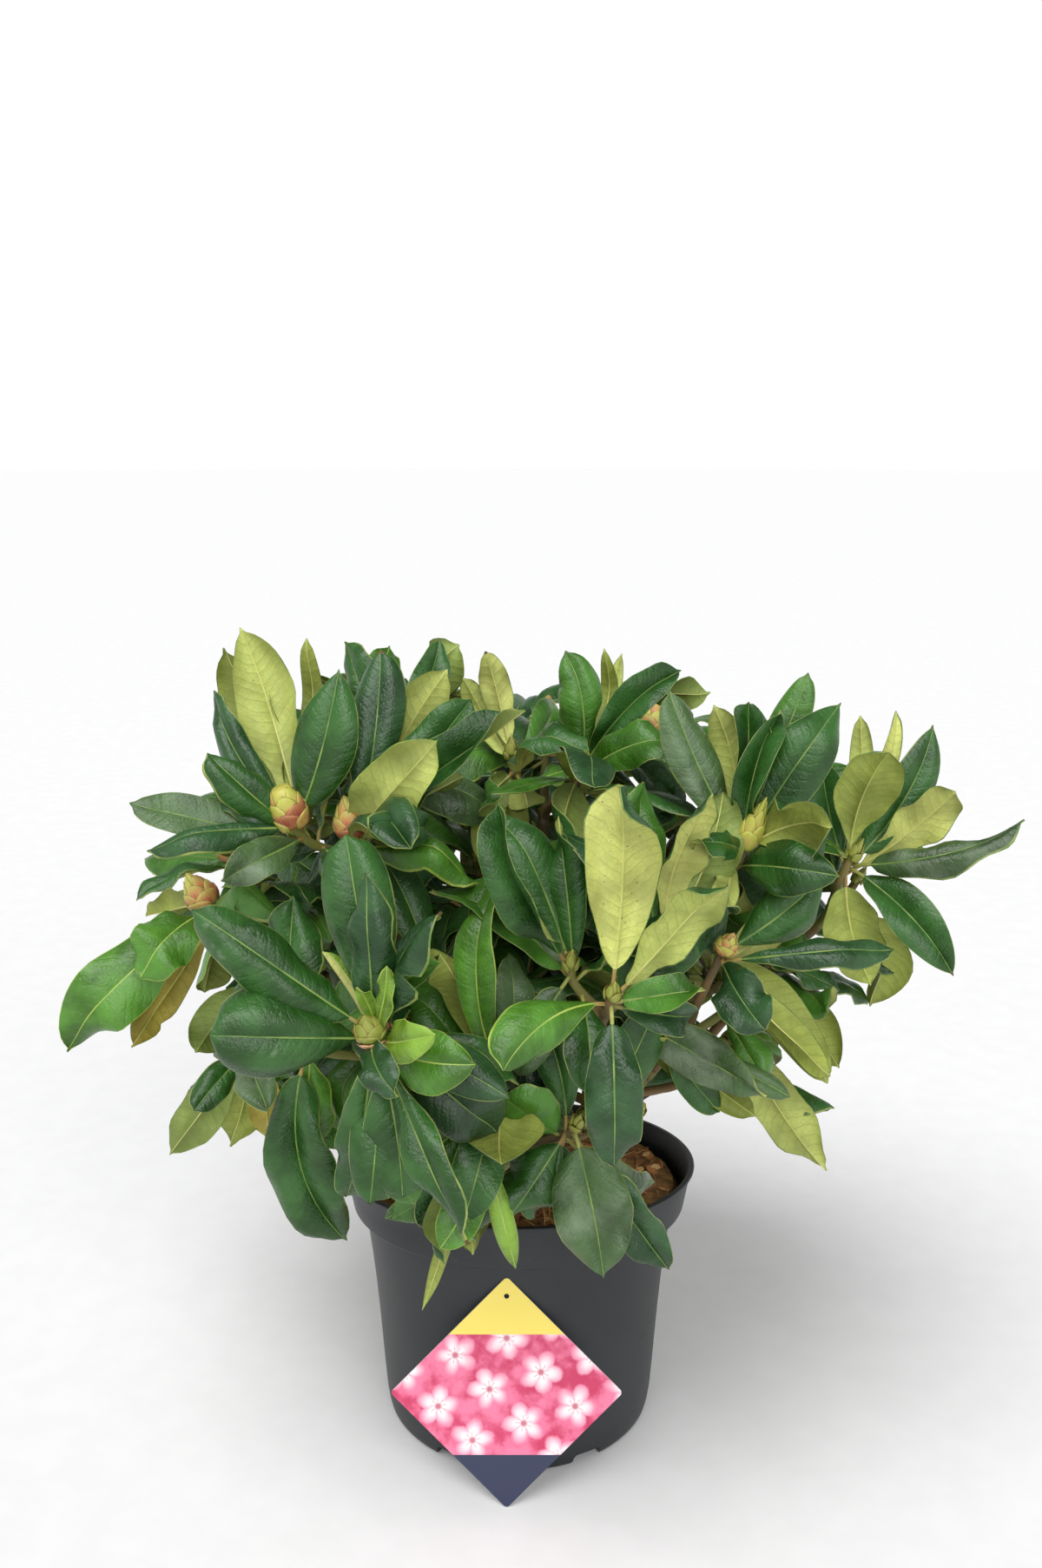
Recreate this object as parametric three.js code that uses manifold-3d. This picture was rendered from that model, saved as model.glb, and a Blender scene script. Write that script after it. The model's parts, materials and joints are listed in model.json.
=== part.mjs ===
// A young rhododendron in its nursery pot, with the label card that leans on the pot.
// Millimetres, +Z up. The origin is the centre of the pot's underside and -Y is the front.
//
// The shrub has a short trunk. Boughs leave it and turn up towards the light. Each bough
// carries one mass of foliage: a stem that forks into shoots, and on every shoot a whorl of
// leaves round a bud. Leaves of the front shoots are set by hand. The others follow a seeded
// rule, and a leaf that would touch a limb or another leaf swings aside or is left out.

import * as THREE from 'three';
import { mergeVertices } from 'three/addons/utils/BufferGeometryUtils.js';
import Module from 'manifold-3d';

const wasm = await Module();
wasm.setup();

const UP = new THREE.Vector3(0, 0, 1);
const FRONT = new THREE.Vector3(0, -1, 0);
const GAP = 0.3; // clearance between pieces that touch

// ---------------------------------------------------------------- driving dimensions

const POT = {
  height: 215,
  wall: 2,
  baseRadius: 108.5, // at the table
  wallSpread: 11, // how much wider the wall is below the band
  bandRadius: 127.5, // the broad band under the lip
  bandFrom: 181,
  lipRadius: 130,
  lipHeight: 3,
  footHeight: 10, // the wall is cut away between the feet, up to the base plate
  feet: 6,
  notchWidth: 25,
  padRadius: 22, // flat pad in the middle of the underside
  squeeze: 0.12, // the carried pot has become this much oval at its lip
  segments: 26,
};

const COMPOST = { top: 186, bottom: POT.footHeight + POT.wall + GAP, clearance: 1.1 };

const TRUNK = {
  top: new THREE.Vector3(7, -5, 264),
  footRadius: 26,
  flareHeight: 20,
  radius: 15,
  forkRadius: 12.5,
};

const LIMB = {
  taper: 0.7, // a bough's root, as a share of the limb that bears it
  leader: 10, // root of the leader that goes on from the trunk's top
  leastRoot: 4.8,
  tip: 4.1,
  fork: 3.7,
  shoot: 2.8,
  stemLength: 24,
  shootLength: 55,
  boughSides: 6,
  boughSteps: 3,
  twigSides: 3,
  twigSteps: 3,
};

const LEAF = {
  thickness: 1.8,
  petioleWidth: 2.6,
  step: 2.3, // from one leaf's foot to the next, down the shoot
  petiole: 0.13, // where the blade begins, as a share of the whole length
  stations: [0.42, 0.76], // along the midrib, and the share of the full width there
  shares: [0.86, 0.94],
  swell: 0.6, // clearance kept when a leaf is tried
};

const FLOWER_BUD = { radius: 13, length: 36 };

const CARD = {
  side: 126,
  thickness: 1,
  corner: 3,
  hole: 4,
  holeDrop: 15,
  x: -9,
  footY: -148,
};

// The crown's outline: an egg round this point, open above the pot.
const CROWN = {
  centre: new THREE.Vector3(8, 5, 395),
  reach: new THREE.Vector3(370, 325, 266),
  floor: 232,
};
const HEART = new THREE.Vector3(0, 0, 300); // the shoots grow away from here

// The masses of foliage, each with the limb that bears its bough and how far along that limb
// the bough leaves it. A shoot has its place, a flower bud or none, how many leaves the rule
// adds, and its hand-set leaves. Such a leaf is [clock, lean, length, width, roll]: the
// direction of its tip as on a clock face seen from the front, in degrees, how far it leans
// to the front, and how its upper face is turned about its midrib away from the front.
const MASSES = [
  {
    name: 'top_centre', parent: 'trunk', along: 0.95, leader: true,
    shoots: [
      {
        at: [48, -62, 562], extra: 3,
        leaves: [
          [-8, 0, 90, 34, 10], [44, 0, 107, 32, -15], [68, 28, 96, 36, -35],
          [15, -28, 97, 15, 160], [23, -36, 105, 17, 180], [38, -34, 90, 30, 175],
          [-160, 54, 92, 40, 150], [-94, 48, 100, 17, 70],
        ],
      },
      {
        at: [-5, -45, 565], extra: 3,
        leaves: [
          [-14, -7, 82, 24, 175], [-34, -25, 74, 26, 190], [-139, 60, 65, 28, 150],
          [-168, 15, 88, 44, 175],
          [43, -49, 80, 30, 0], [160, 60, 70, 30, 160],
        ],
      },
      { at: [22, 18, 572], flower: true, extra: 7, leaves: [] },
    ],
  },
  {
    name: 'upper_left', parent: 'top_centre', along: 0.22,
    shoots: [
      {
        at: [-155, -145, 540], flower: true, extra: 1,
        leaves: [
          [17, -11, 110, 46, -10], [-18, -22, 145, 45, 175], [-26, -30, 145, 50, 165],
          [-35, -20, 115, 32, 10], [-45, -6, 92, 32, 35], [-78, 10, 115, 32, 35],
          [-90, 25, 105, 28, 60], [-120, 50, 72, 30, 20], [-80, -50, 90, 32, 200],
          [-58, 10, 62, 22, 50],
        ],
      },
      {
        at: [-115, -130, 530], flower: true, extra: 2,
        leaves: [
          [40, 25, 108, 46, 170], [55, 0, 150, 40, -30], [43, -12, 125, 40, -20],
          [8, -18, 130, 38, 10], [31, -4, 133, 38, 185], [87, 30, 100, 28, -60],
          [71, 36, 105, 34, 150],
        ],
      },
      {
        at: [-105, -40, 570], extra: 3,
        leaves: [
          [30, -5, 98, 32, 10], [-20, -10, 78, 34, -10], [-37, 0, 90, 15, 160],
          [5, -15, 78, 36, 0],
        ],
      },
    ],
  },
  {
    name: 'left', parent: 'upper_left', along: 0.5,
    shoots: [
      {
        at: [-230, -90, 465], flower: true, extra: 2,
        leaves: [
          [-134, 20, 138, 66, 15], [-130, 52, 80, 44, 25], [-150, 0, 130, 28, 170],
          [-115, -36, 95, 32, 150], [50, 40, 90, 26, -100], [84, 25, 95, 30, -40],
        ],
      },
      { at: [-175, -45, 455], extra: 6, leaves: [] },
    ],
  },
  {
    name: 'front_left', parent: 'trunk', along: 0.36,
    shoots: [
      {
        at: [-95, -240, 425], extra: 2,
        leaves: [
          [-52, 5, 140, 48, 15], [-83, 15, 105, 58, 10], [-8, -10, 130, 46, -5],
          [-1, 8, 112, 30, -15], [69, 46, 62, 24, -30], [97, 28, 76, 42, -20],
          [141, 52, 56, 28, -10], [109, 0, 110, 28, -35], [133, 2, 118, 46, -5],
          [-171, -10, 132, 34, 10], [172, -2, 127, 48, 0],
        ],
      },
      {
        at: [-145, -185, 395], extra: 3,
        leaves: [[172, -6, 162, 56, 0], [-175, -15, 95, 36, 20]],
      },
      { at: [-60, -140, 430], extra: 6, leaves: [] },
    ],
  },
  {
    name: 'lower_left', parent: 'front_left', along: 0.42,
    shoots: [
      {
        at: [-205, -55, 395], extra: 4,
        leaves: [[-142, 10, 88, 36, 180], [-165, -15, 80, 30, 160]],
      },
      {
        at: [-200, -115, 362], extra: 2,
        leaves: [
          [-145, 0, 97, 42, 180], [170, 0, 85, 28, 180], [-168, -12, 95, 34, 170],
          [-135, 45, 62, 26, 0],
        ],
      },
      { at: [-215, 0, 345], extra: 6, leaves: [] },
    ],
  },
  {
    name: 'front_centre', parent: 'trunk', along: 0.76,
    shoots: [
      {
        at: [60, -245, 450], extra: 1,
        leaves: [
          [2, 0, 141, 52, 180], [39, 12, 100, 36, 190], [-111, 38, 92, 36, 20],
          [179, 15, 114, 38, 0], [80, 10, 62, 26, -30], [111, -18, 68, 28, -20],
        ],
      },
      {
        at: [35, -195, 452], extra: 2,
        leaves: [
          [-27, 13, 135, 38, -30], [-24, 0, 126, 40, 20], [-4, -17, 104, 30, -20],
          [-156, -6, 90, 36, 0],
        ],
      },
      {
        at: [102, -170, 465], extra: 3,
        leaves: [[16, 0, 106, 30, 200], [24, -22, 110, 42, 175], [-8, -32, 114, 36, 0]],
      },
    ],
  },
  {
    name: 'low_front', parent: 'front_centre', along: 0.45,
    shoots: [
      {
        at: [-12, -185, 370], extra: 2,
        leaves: [[-4, 7, 154, 42, -20], [-23, 17, 104, 34, 200], [-30, 0, 105, 28, 180]],
      },
      {
        at: [40, -190, 335], extra: 3,
        leaves: [
          [169, 17, 105, 58, 0], [149, 0, 114, 40, 10], [-142, 15, 80, 40, 10],
          [-56, 22, 62, 44, 0],
        ],
      },
      {
        at: [-25, -205, 335], extra: 3,
        leaves: [
          [166, 6, 100, 16, -10], [75, 30, 50, 36, 170], [-175, -6, 96, 22, 150],
          [-162, -4, 144, 15, 175], [-150, 0, 85, 34, 0],
        ],
      },
    ],
  },
  {
    name: 'upper_right', parent: 'top_centre', along: 0.1,
    shoots: [
      {
        at: [160, -130, 520], flower: true, extra: 1,
        leaves: [
          [-26, -5, 123, 36, 20], [-12, -22, 105, 30, 170], [5, -22, 108, 36, 10],
          [14, -11, 103, 30, -20], [35, -9, 129, 46, -10], [-25, 23, 89, 34, 190],
          [10, 47, 88, 36, 170], [66, 52, 92, 44, 175], [89, 57, 99, 50, -15],
          [-62, 52, 66, 22, 40], [-143, 56, 71, 28, 170], [-147, 28, 84, 42, -10],
        ],
      },
      {
        at: [170, -50, 525], extra: 8,
        leaves: [[25, -10, 115, 30, 0]],
      },
    ],
  },
  {
    name: 'right', parent: 'upper_right', along: 0.5,
    shoots: [
      {
        at: [250, -60, 490], extra: 2,
        leaves: [
          [9, 26, 102, 46, 175], [33, -14, 121, 38, -5], [51, 0, 93, 40, 185],
          [72, 0, 128, 28, -50], [136, 28, 97, 44, -10], [158, -5, 113, 32, 165],
          [27, -39, 140, 15, 150], [16, -31, 117, 20, 160],
        ],
      },
      { at: [272, 15, 450], extra: 6, leaves: [] },
    ],
  },
  {
    name: 'lower_right', parent: 'trunk', along: 0.5,
    shoots: [
      {
        at: [145, -150, 450], flower: true, extra: 1,
        leaves: [
          [52, 0, 76, 34, -20], [152, 52, 70, 40, 0], [84, 11, 106, 24, -45],
          [144, -4, 131, 34, 170], [137, 10, 120, 30, 190], [79, -39, 64, 36, 180],
        ],
      },
      {
        at: [155, -105, 390], extra: 2,
        leaves: [[149, 9, 131, 44, 178], [102, -7, 78, 17, -50], [151, 45, 72, 30, 10]],
      },
      {
        at: [100, -150, 385], extra: 1,
        leaves: [
          [114, 22, 108, 38, -15], [131, 0, 133, 32, 160], [114, 6, 92, 22, -50],
          [143, -15, 76, 26, 0],
        ],
      },
    ],
  },
  {
    name: 'side_right', parent: 'lower_right', along: 0.45,
    shoots: [
      { at: [215, 5, 385], extra: 6, leaves: [] },
      { at: [190, 75, 345], extra: 6, leaves: [] },
    ],
  },
  {
    name: 'back_top_left', parent: 'top_centre', along: 0.38,
    shoots: [
      { at: [-125, 60, 560], flower: true, extra: 7, leaves: [] },
      { at: [-195, 5, 530], extra: 6, leaves: [] },
    ],
  },
  {
    name: 'back_left', parent: 'back_top_left', along: 0.45,
    shoots: [
      { at: [-240, 75, 455], flower: true, extra: 6, leaves: [] },
      { at: [-205, 145, 420], extra: 6, leaves: [] },
    ],
  },
  {
    name: 'back_top_right', parent: 'top_centre', along: 0.3,
    shoots: [
      { at: [110, 75, 560], flower: true, extra: 7, leaves: [] },
      { at: [195, 40, 520], extra: 6, leaves: [] },
    ],
  },
  {
    name: 'back_right', parent: 'back_top_right', along: 0.45,
    shoots: [
      { at: [240, 95, 450], flower: true, extra: 6, leaves: [] },
      { at: [190, 160, 425], extra: 6, leaves: [] },
    ],
  },
  {
    name: 'back_centre', parent: 'trunk', along: 0.7,
    shoots: [
      { at: [-5, 150, 540], flower: true, extra: 7, leaves: [] },
      { at: [-85, 195, 485], extra: 6, leaves: [] },
      { at: [75, 200, 480], flower: true, extra: 6, leaves: [] },
    ],
  },
  {
    name: 'back_low_left', parent: 'trunk', along: 0.32,
    shoots: [
      { at: [-120, 215, 380], extra: 6, leaves: [] },
      { at: [-205, 90, 345], extra: 6, leaves: [] },
    ],
  },
  {
    name: 'back_low_right', parent: 'trunk', along: 0.5,
    shoots: [
      { at: [20, 240, 385], extra: 6, leaves: [] },
      { at: [125, 205, 350], extra: 6, leaves: [] },
    ],
  },
];

// ---------------------------------------------------------------- finishes

const finish = (color, roughness) => new THREE.MeshStandardMaterial({
  color, roughness, metalness: 0, side: THREE.DoubleSide,
});
const POT_PLASTIC = finish(0x26282b, 0.45);
const COMPOST_BARK = finish(0x7a4a28, 0.95);
const BARK = finish(0x8a6a4c, 0.8);
const FOLIAGE = finish(0x2f6b35, 0.4);
const CARD_FACE = finish(0xd8446c, 0.3);

// ---------------------------------------------------------------- small helpers

const vector = ([x, y, z]) => new THREE.Vector3(x, y, z);
const radians = (degrees) => THREE.MathUtils.degToRad(degrees);
const along = (start, direction, distance) => start.clone().addScaledVector(direction, distance);

// A repeatable stream of numbers between 0 and 1.
function seeded(seed) {
  let state = (seed * 7919 + 12345) % 2147483647;
  return () => {
    state = (state * 48271) % 2147483647;
    return state / 2147483647;
  };
}

// A closed skin over rings of points. A ring of one point is a tip.
function loft(rings) {
  const points = rings.flat();
  const faces = [];
  let first = 0;
  for (let r = 0; r < rings.length - 1; r++) {
    const here = rings[r].length;
    const next = rings[r + 1].length;
    const second = first + here;
    const count = Math.max(here, next);
    for (let i = 0; i < count; i++) {
      const j = (i + 1) % count;
      if (next > 1) faces.push(first + (i % here), second + j, second + i);
      if (here > 1) faces.push(first + i, first + j, second + (j % next));
    }
    first = second;
  }
  const lastCount = rings.at(-1).length;
  for (let i = 1; i < rings[0].length - 1; i++) faces.push(0, i + 1, i);
  for (let i = 1; i < lastCount - 1; i++) faces.push(first, first + i, first + i + 1);
  const geometry = new THREE.BufferGeometry().setFromPoints(points);
  geometry.setIndex(faces);
  return geometry;
}

// A three.js geometry as a solid for joining and cutting, and back.
function solidOf(geometry) {
  const bare = geometry.clone();
  bare.deleteAttribute('normal');
  bare.deleteAttribute('uv');
  const merged = mergeVertices(bare, 1e-4);
  return new wasm.Manifold(new wasm.Mesh({
    numProp: 3,
    vertProperties: Float32Array.from(merged.attributes.position.array),
    triVerts: Uint32Array.from(merged.index.array),
  }));
}

function geometryOf(solid) {
  const mesh = solid.getMesh();
  const geometry = new THREE.BufferGeometry();
  geometry.setAttribute('position', new THREE.BufferAttribute(mesh.vertProperties, 3));
  geometry.setIndex(new THREE.BufferAttribute(mesh.triVerts, 1));
  return geometry;
}

// The largest body alone, so loose scraps are dropped and sealed hollows are filled. The
// slivers left by joining are evened out.
function oneBody(solid) {
  const bodies = solid.simplify(0.02).decompose().sort((a, b) => b.volume() - a.volume());
  return bodies[0];
}

// ---------------------------------------------------------------- limbs

// A tapering limb with a round section along a curve.
function limb(curve, startRadius, endRadius, sides, steps, grow = 0) {
  const frames = curve.computeFrenetFrames(steps, false);
  const rings = [];
  for (let s = 0; s <= steps; s++) {
    const centre = curve.getPointAt(s / steps);
    const radius = THREE.MathUtils.lerp(startRadius, endRadius, s / steps) + grow;
    rings.push(Array.from({ length: sides }, (_, i) => {
      const angle = (i / sides) * 2 * Math.PI;
      return along(along(centre, frames.normals[s], radius * Math.cos(angle)),
        frames.binormals[s], radius * Math.sin(angle));
    }));
  }
  return solidOf(loft(rings));
}

// The trunk leans a little and flares where its roots leave it.
const trunkFoot = new THREE.Vector3(0, 0, COMPOST.top + GAP);
const trunkCurve = new THREE.QuadraticBezierCurve3(
  trunkFoot, new THREE.Vector3(1, 2, 225), TRUNK.top);

function trunk(grow) {
  const sides = 12;
  const levels = [0, 0.1, 0.28, 0.6, 1];
  const rings = levels.map((t) => {
    const centre = trunkCurve.getPointAt(t);
    const height = centre.z - trunkFoot.z;
    const flare = Math.max(0, 1 - height / TRUNK.flareHeight) ** 2;
    const plain = THREE.MathUtils.lerp(TRUNK.radius, TRUNK.forkRadius, t);
    const end = grow * (t === 1 ? 1 : 0);
    return Array.from({ length: sides }, (_, i) => {
      const angle = (i / sides) * 2 * Math.PI;
      const root = 0.55 + 0.45 * Math.cos(3 * angle + 0.6);
      const radius = plain + (TRUNK.footRadius - TRUNK.radius) * flare * root + grow;
      return new THREE.Vector3(
        centre.x + radius * Math.cos(angle), centre.y + radius * Math.sin(angle), centre.z + end);
    });
  });
  return solidOf(loft(rings));
}

// A shoot grows away from the heart of the shrub and turns up towards the light.
function shootAxis(shoot) {
  return vector(shoot.at).sub(HEART).normalize().addScaledVector(UP, 0.9).normalize();
}

// Works out one mass: where its stem forks, and the curve of the bough that bears it.
function layOut(mass, parentCurve) {
  const fork = new THREE.Vector3();
  for (const shoot of mass.shoots) {
    fork.addScaledVector(vector(shoot.at), 1 / mass.shoots.length);
    fork.addScaledVector(shootAxis(shoot), -LIMB.shootLength / mass.shoots.length);
  }
  const root = parentCurve.getPointAt(mass.along);
  const inward = root.clone().sub(fork).normalize().addScaledVector(UP, -0.35).normalize();
  const tip = along(fork, inward, LIMB.stemLength);
  const reach = tip.distanceTo(root);
  const bend = along(tip, inward, reach * 0.42);
  const curve = new THREE.QuadraticBezierCurve3(root, bend, tip);
  const shoots = mass.shoots.map((shoot) => ({ ...shoot, curve: twigCurve(shoot, fork, inward) }));
  return { ...mass, shoots, fork, inward, tip, curve };
}

// A twig leaves the fork in line with the stem and ends in line with its shoot.
function twigCurve(shoot, fork, inward) {
  const end = vector(shoot.at);
  const start = along(fork, inward, 2);
  const span = start.distanceTo(end);
  return new THREE.CubicBezierCurve3(
    start, along(start, inward, -span * 0.3), along(end, shootAxis(shoot), -span * 0.4), end);
}

// A bough is cut clear of the limb that bears it.
function bough(mass, rootRadius, cutter) {
  const { tip, boughSides, boughSteps } = LIMB;
  return oneBody(limb(mass.curve, rootRadius, tip, boughSides, boughSteps).subtract(cutter));
}

// The stem of a mass starts just clear of the bough's tip and forks into its shoots.
function twigs(mass) {
  const start = along(mass.tip, mass.inward, -GAP);
  const stem = new THREE.LineCurve3(start, along(mass.fork, mass.inward, -1));
  const parts = [limb(stem, LIMB.tip, LIMB.fork + 0.2, 5, 1)];
  for (const shoot of mass.shoots) {
    parts.push(limb(shoot.curve, LIMB.fork, LIMB.shoot, LIMB.twigSides, LIMB.twigSteps));
  }
  return wasm.Manifold.union(parts);
}

// An egg-shaped flower bud, standing on the end of its shoot.
function flowerBud(shoot) {
  const { radius, length } = FLOWER_BUD;
  const axis = shootAxis(shoot);
  const side = axis.clone().cross(FRONT).normalize();
  const other = axis.clone().cross(side);
  const foot = along(vector(shoot.at), axis, -3);
  const outline = [[0, 0.6], [0.35, 1], [0.72, 0.7]];
  const rings = outline.map(([t, share]) => Array.from({ length: 5 }, (_, i) => {
    const angle = (i / 5) * 2 * Math.PI;
    const centre = along(foot, axis, t * length);
    return along(along(centre, side, radius * share * Math.cos(angle)),
      other, radius * share * Math.sin(angle));
  }));
  rings.push([along(foot, axis, length)]);
  return solidOf(loft(rings));
}

// ---------------------------------------------------------------- leaves

// The middle of a twig's solid, at a distance down from its end.
function footOn(curve, distance) {
  const steps = (1 - distance / curve.getLength()) * LIMB.twigSteps;
  const below = Math.floor(steps);
  const start = curve.getPointAt(below / LIMB.twigSteps);
  const end = curve.getPointAt((below + 1) / LIMB.twigSteps);
  return start.lerp(end, steps - below);
}

// Where a leaf stands: its foot on the shoot, its tip, and which way its upper face looks.
function place(shoot, rank, direction, length, width, upper, bend) {
  const axis = shootAxis(shoot);
  const tip = along(vector(shoot.at), direction, length);
  const outward = direction.clone().addScaledVector(axis, -direction.dot(axis)).normalize();
  const base = along(footOn(shoot.curve, 3 + LEAF.step * rank), outward, LIMB.shoot * 0.25);
  const midrib = tip.clone().sub(base);
  const chord = midrib.length();
  midrib.normalize();
  const normal = upper.clone().addScaledVector(midrib, -upper.dot(midrib)).normalize();
  const side = midrib.clone().cross(normal);
  const rise = (chord * radians(bend)) / 8;
  return { base, midrib, chord, normal, side, rise, width };
}

// One cross-section of a leaf: left edge, right edge, and the rib below them.
function section(leaf, t, halfWidth, swell) {
  const centre = along(leaf.base, leaf.midrib, leaf.chord * t);
  centre.addScaledVector(leaf.normal, leaf.rise * 4 * t * (1 - t));
  const lift = leaf.normal.clone();
  lift.addScaledVector(leaf.midrib, (-leaf.rise * 4 * (1 - 2 * t)) / leaf.chord).normalize();
  const half = LEAF.thickness / 2 + swell;
  return [
    along(along(centre, leaf.side, -halfWidth - swell), lift, half),
    along(along(centre, leaf.side, halfWidth + swell), lift, half),
    along(centre, lift, -half),
  ];
}

// The solid of a leaf, with its petiole or as its blade alone.
function leafSolid(leaf, withPetiole, swell) {
  const rings = withPetiole ? [section(leaf, 0, LEAF.petioleWidth / 2, swell)] : [];
  rings.push(section(leaf, LEAF.petiole, LEAF.petioleWidth / 2, swell));
  LEAF.stations.forEach((t, s) => {
    rings.push(section(leaf, t, LEAF.shares[s] * leaf.width / 2, swell));
  });
  rings.push([along(leaf.base, leaf.midrib, leaf.chord + swell)]);
  return solidOf(loft(rings));
}

// A hand-set leaf, swung aside by the given degrees.
function handSetLeaf(shoot, number, swing, random) {
  const [clock, lean, length, width, roll] = shoot.leaves[number];
  const rank = (number % 3) * Math.ceil(shoot.leaves.length / 3) + Math.floor(number / 3);
  const turn = radians(clock + swing[0]);
  const tilt = radians(lean + swing[1]);
  const direction = new THREE.Vector3(
    Math.sin(turn) * Math.cos(tilt), -Math.sin(tilt), Math.cos(turn) * Math.cos(tilt));
  const front = FRONT.clone().addScaledVector(direction, -FRONT.dot(direction)).normalize();
  const upper = front.applyAxisAngle(direction, radians(roll));
  return place(shoot, rank, direction, length, width, upper, 10 + 24 * random());
}

// A leaf of the whorl: its bearing goes round the shoot by the golden angle, and the lower
// leaves of the whorl are spread wider.
function whorlLeaf(shoot, number, swing, random) {
  const axis = shootAxis(shoot);
  const share = (number + 0.5) / Math.max(8, shoot.extra);
  const bearing = radians(shoot.phase + 137.5 * number + 2 * swing[0]);
  const spread = radians(34 + 74 * share + 12 * random() + swing[1]);
  const side = axis.clone().cross(FRONT).normalize();
  const around = side.applyAxisAngle(axis, bearing);
  const direction = axis.clone().multiplyScalar(Math.cos(spread));
  direction.addScaledVector(around, Math.sin(spread));
  direction.addScaledVector(UP, -0.25 * share).normalize();
  const length = 84 + 44 * random();
  const width = length * (0.34 + 0.1 * random());
  const upper = axis.clone().applyAxisAngle(direction, radians(50 * random() - 25));
  const rank = shoot.leaves.length + number;
  return place(shoot, rank, direction, length, width, upper, 12 + 30 * random());
}

function inCrown(leaf) {
  const tip = along(leaf.base, leaf.midrib, leaf.chord);
  const scaled = tip.clone().sub(CROWN.centre).divide(CROWN.reach);
  return scaled.length() < 1 && tip.z > CROWN.floor;
}

// What has been placed so far, each with its box, so that a new leaf is tried only
// against its neighbours.
const placed = [];

function boxOf(solid) {
  const box = solid.boundingBox();
  return new THREE.Box3(vector(box.min), vector(box.max));
}

function keep(mass, whole, blade = whole) {
  placed.push({ mass, whole, blade, box: boxOf(whole) });
}

// Leaves of one mass may meet near their shoot, but their blades keep clear of each other
// and of the twigs. Another mass, the boughs and the pot are kept clear of altogether.
function isClear(mass, leaf) {
  const whole = leafSolid(leaf, true, LEAF.swell);
  const blade = leafSolid(leaf, false, 0);
  const box = boxOf(whole);
  for (const other of placed) {
    if (!other.box.intersectsBox(box)) continue;
    const own = other.mass === mass;
    if (own && !other.blade) continue;
    const mine = own ? blade : whole;
    const theirs = own ? other.blade : other.whole;
    if (!mine.intersect(theirs).isEmpty()) return false;
  }
  return true;
}

// Tries a leaf as it is, then swung aside step by step, and leaves it out if none is clear.
const SWINGS = [[0, 0], [0, 7], [0, -7], [7, 0], [-7, 0], [0, 15], [0, -15], [14, 6],
  [-14, -6], [14, -14], [-14, 14], [0, 24], [0, -24]];

function settle(mass, make, mustStayInCrown) {
  for (const swing of SWINGS) {
    const leaf = make(swing);
    if (mustStayInCrown && !inCrown(leaf)) continue;
    if (!isClear(mass.name, leaf)) continue;
    const whole = leafSolid(leaf, true, 0);
    keep(mass.name, whole, leafSolid(leaf, false, 0));
    mass.leaves.push(whole);
    return true;
  }
  return false;
}

// ---------------------------------------------------------------- pot, compost and card

// The wall's outer radius at a height, before the pot is squeezed.
function potRadius(height) {
  if (height >= POT.bandFrom) return POT.bandRadius;
  const share = height / POT.bandFrom;
  return POT.baseRadius + POT.wallSpread * Math.sqrt(share);
}

// How much wider the squeezed pot is at a height, as a share.
const squeezeAt = (height) => POT.squeeze * (height / POT.height) ** 3;

// Where the wall's front facet is, at a distance beside the middle.
function wallFront(beside, height) {
  const radius = potRadius(height);
  const facet = (2 * Math.PI) / POT.segments;
  const slope = (1 - Math.cos(facet)) / Math.sin(facet);
  return -(radius - Math.abs(beside) * slope) * (1 - squeezeAt(height));
}

// Lathes a profile of [radius, height] about the vertical and squeezes it oval.
function ovalLathe(profile) {
  const points = profile.map(([radius, height]) => new THREE.Vector2(radius, height));
  const geometry = new THREE.LatheGeometry(points, POT.segments);
  geometry.rotateX(Math.PI / 2);
  const position = geometry.attributes.position;
  for (let i = 0; i < position.count; i++) {
    const squeeze = squeezeAt(position.getZ(i));
    position.setX(i, position.getX(i) * (1 + squeeze));
    position.setY(i, position.getY(i) * (1 - squeeze));
  }
  return solidOf(geometry);
}

const WALL_LEVELS = [90, POT.bandFrom - 1];

function pot() {
  const { height, wall, footHeight, bandFrom, bandRadius, lipRadius, lipHeight } = POT;
  const plate = footHeight + wall;
  const profile = [
    [0, 0], [POT.padRadius, 0], [POT.padRadius, footHeight],
    [POT.baseRadius - 9, footHeight], [POT.baseRadius - 9, 0], [POT.baseRadius - 1, 0],
    [potRadius(footHeight), footHeight],
    ...WALL_LEVELS.map((level) => [potRadius(level), level]),
    [bandRadius, bandFrom + 4],
    [bandRadius + 0.6, height - lipHeight - 2],
    [lipRadius, height - lipHeight],
    [lipRadius, height],
    [bandRadius - wall, height],
    [bandRadius - wall, COMPOST.top],
    ...WALL_LEVELS.map((level) => [potRadius(level) - wall, level]).reverse(),
    [potRadius(plate) - wall, plate], [0, plate],
  ];
  const turned = ovalLathe(profile);
  const notches = Array.from({ length: POT.feet }, (_, i) => {
    const shape = new THREE.Shape();
    const half = POT.notchWidth / 2;
    shape.moveTo(-half - 3, -5);
    shape.lineTo(-half, 1);
    shape.lineTo(-half, footHeight - 4);
    shape.lineTo(-half + 4, footHeight - 0.4);
    shape.lineTo(half - 4, footHeight - 0.4);
    shape.lineTo(half, footHeight - 4);
    shape.lineTo(half, 1);
    shape.lineTo(half + 3, -5);
    const cutter = new THREE.ExtrudeGeometry(shape, { depth: 40, bevelEnabled: false });
    cutter.rotateX(Math.PI / 2);
    cutter.translate(0, -POT.baseRadius + 25, 0);
    cutter.rotateZ(((i + 0.5) / POT.feet) * 2 * Math.PI);
    return solidOf(cutter);
  });
  return oneBody(turned.subtract(wasm.Manifold.union(notches)));
}

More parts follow.
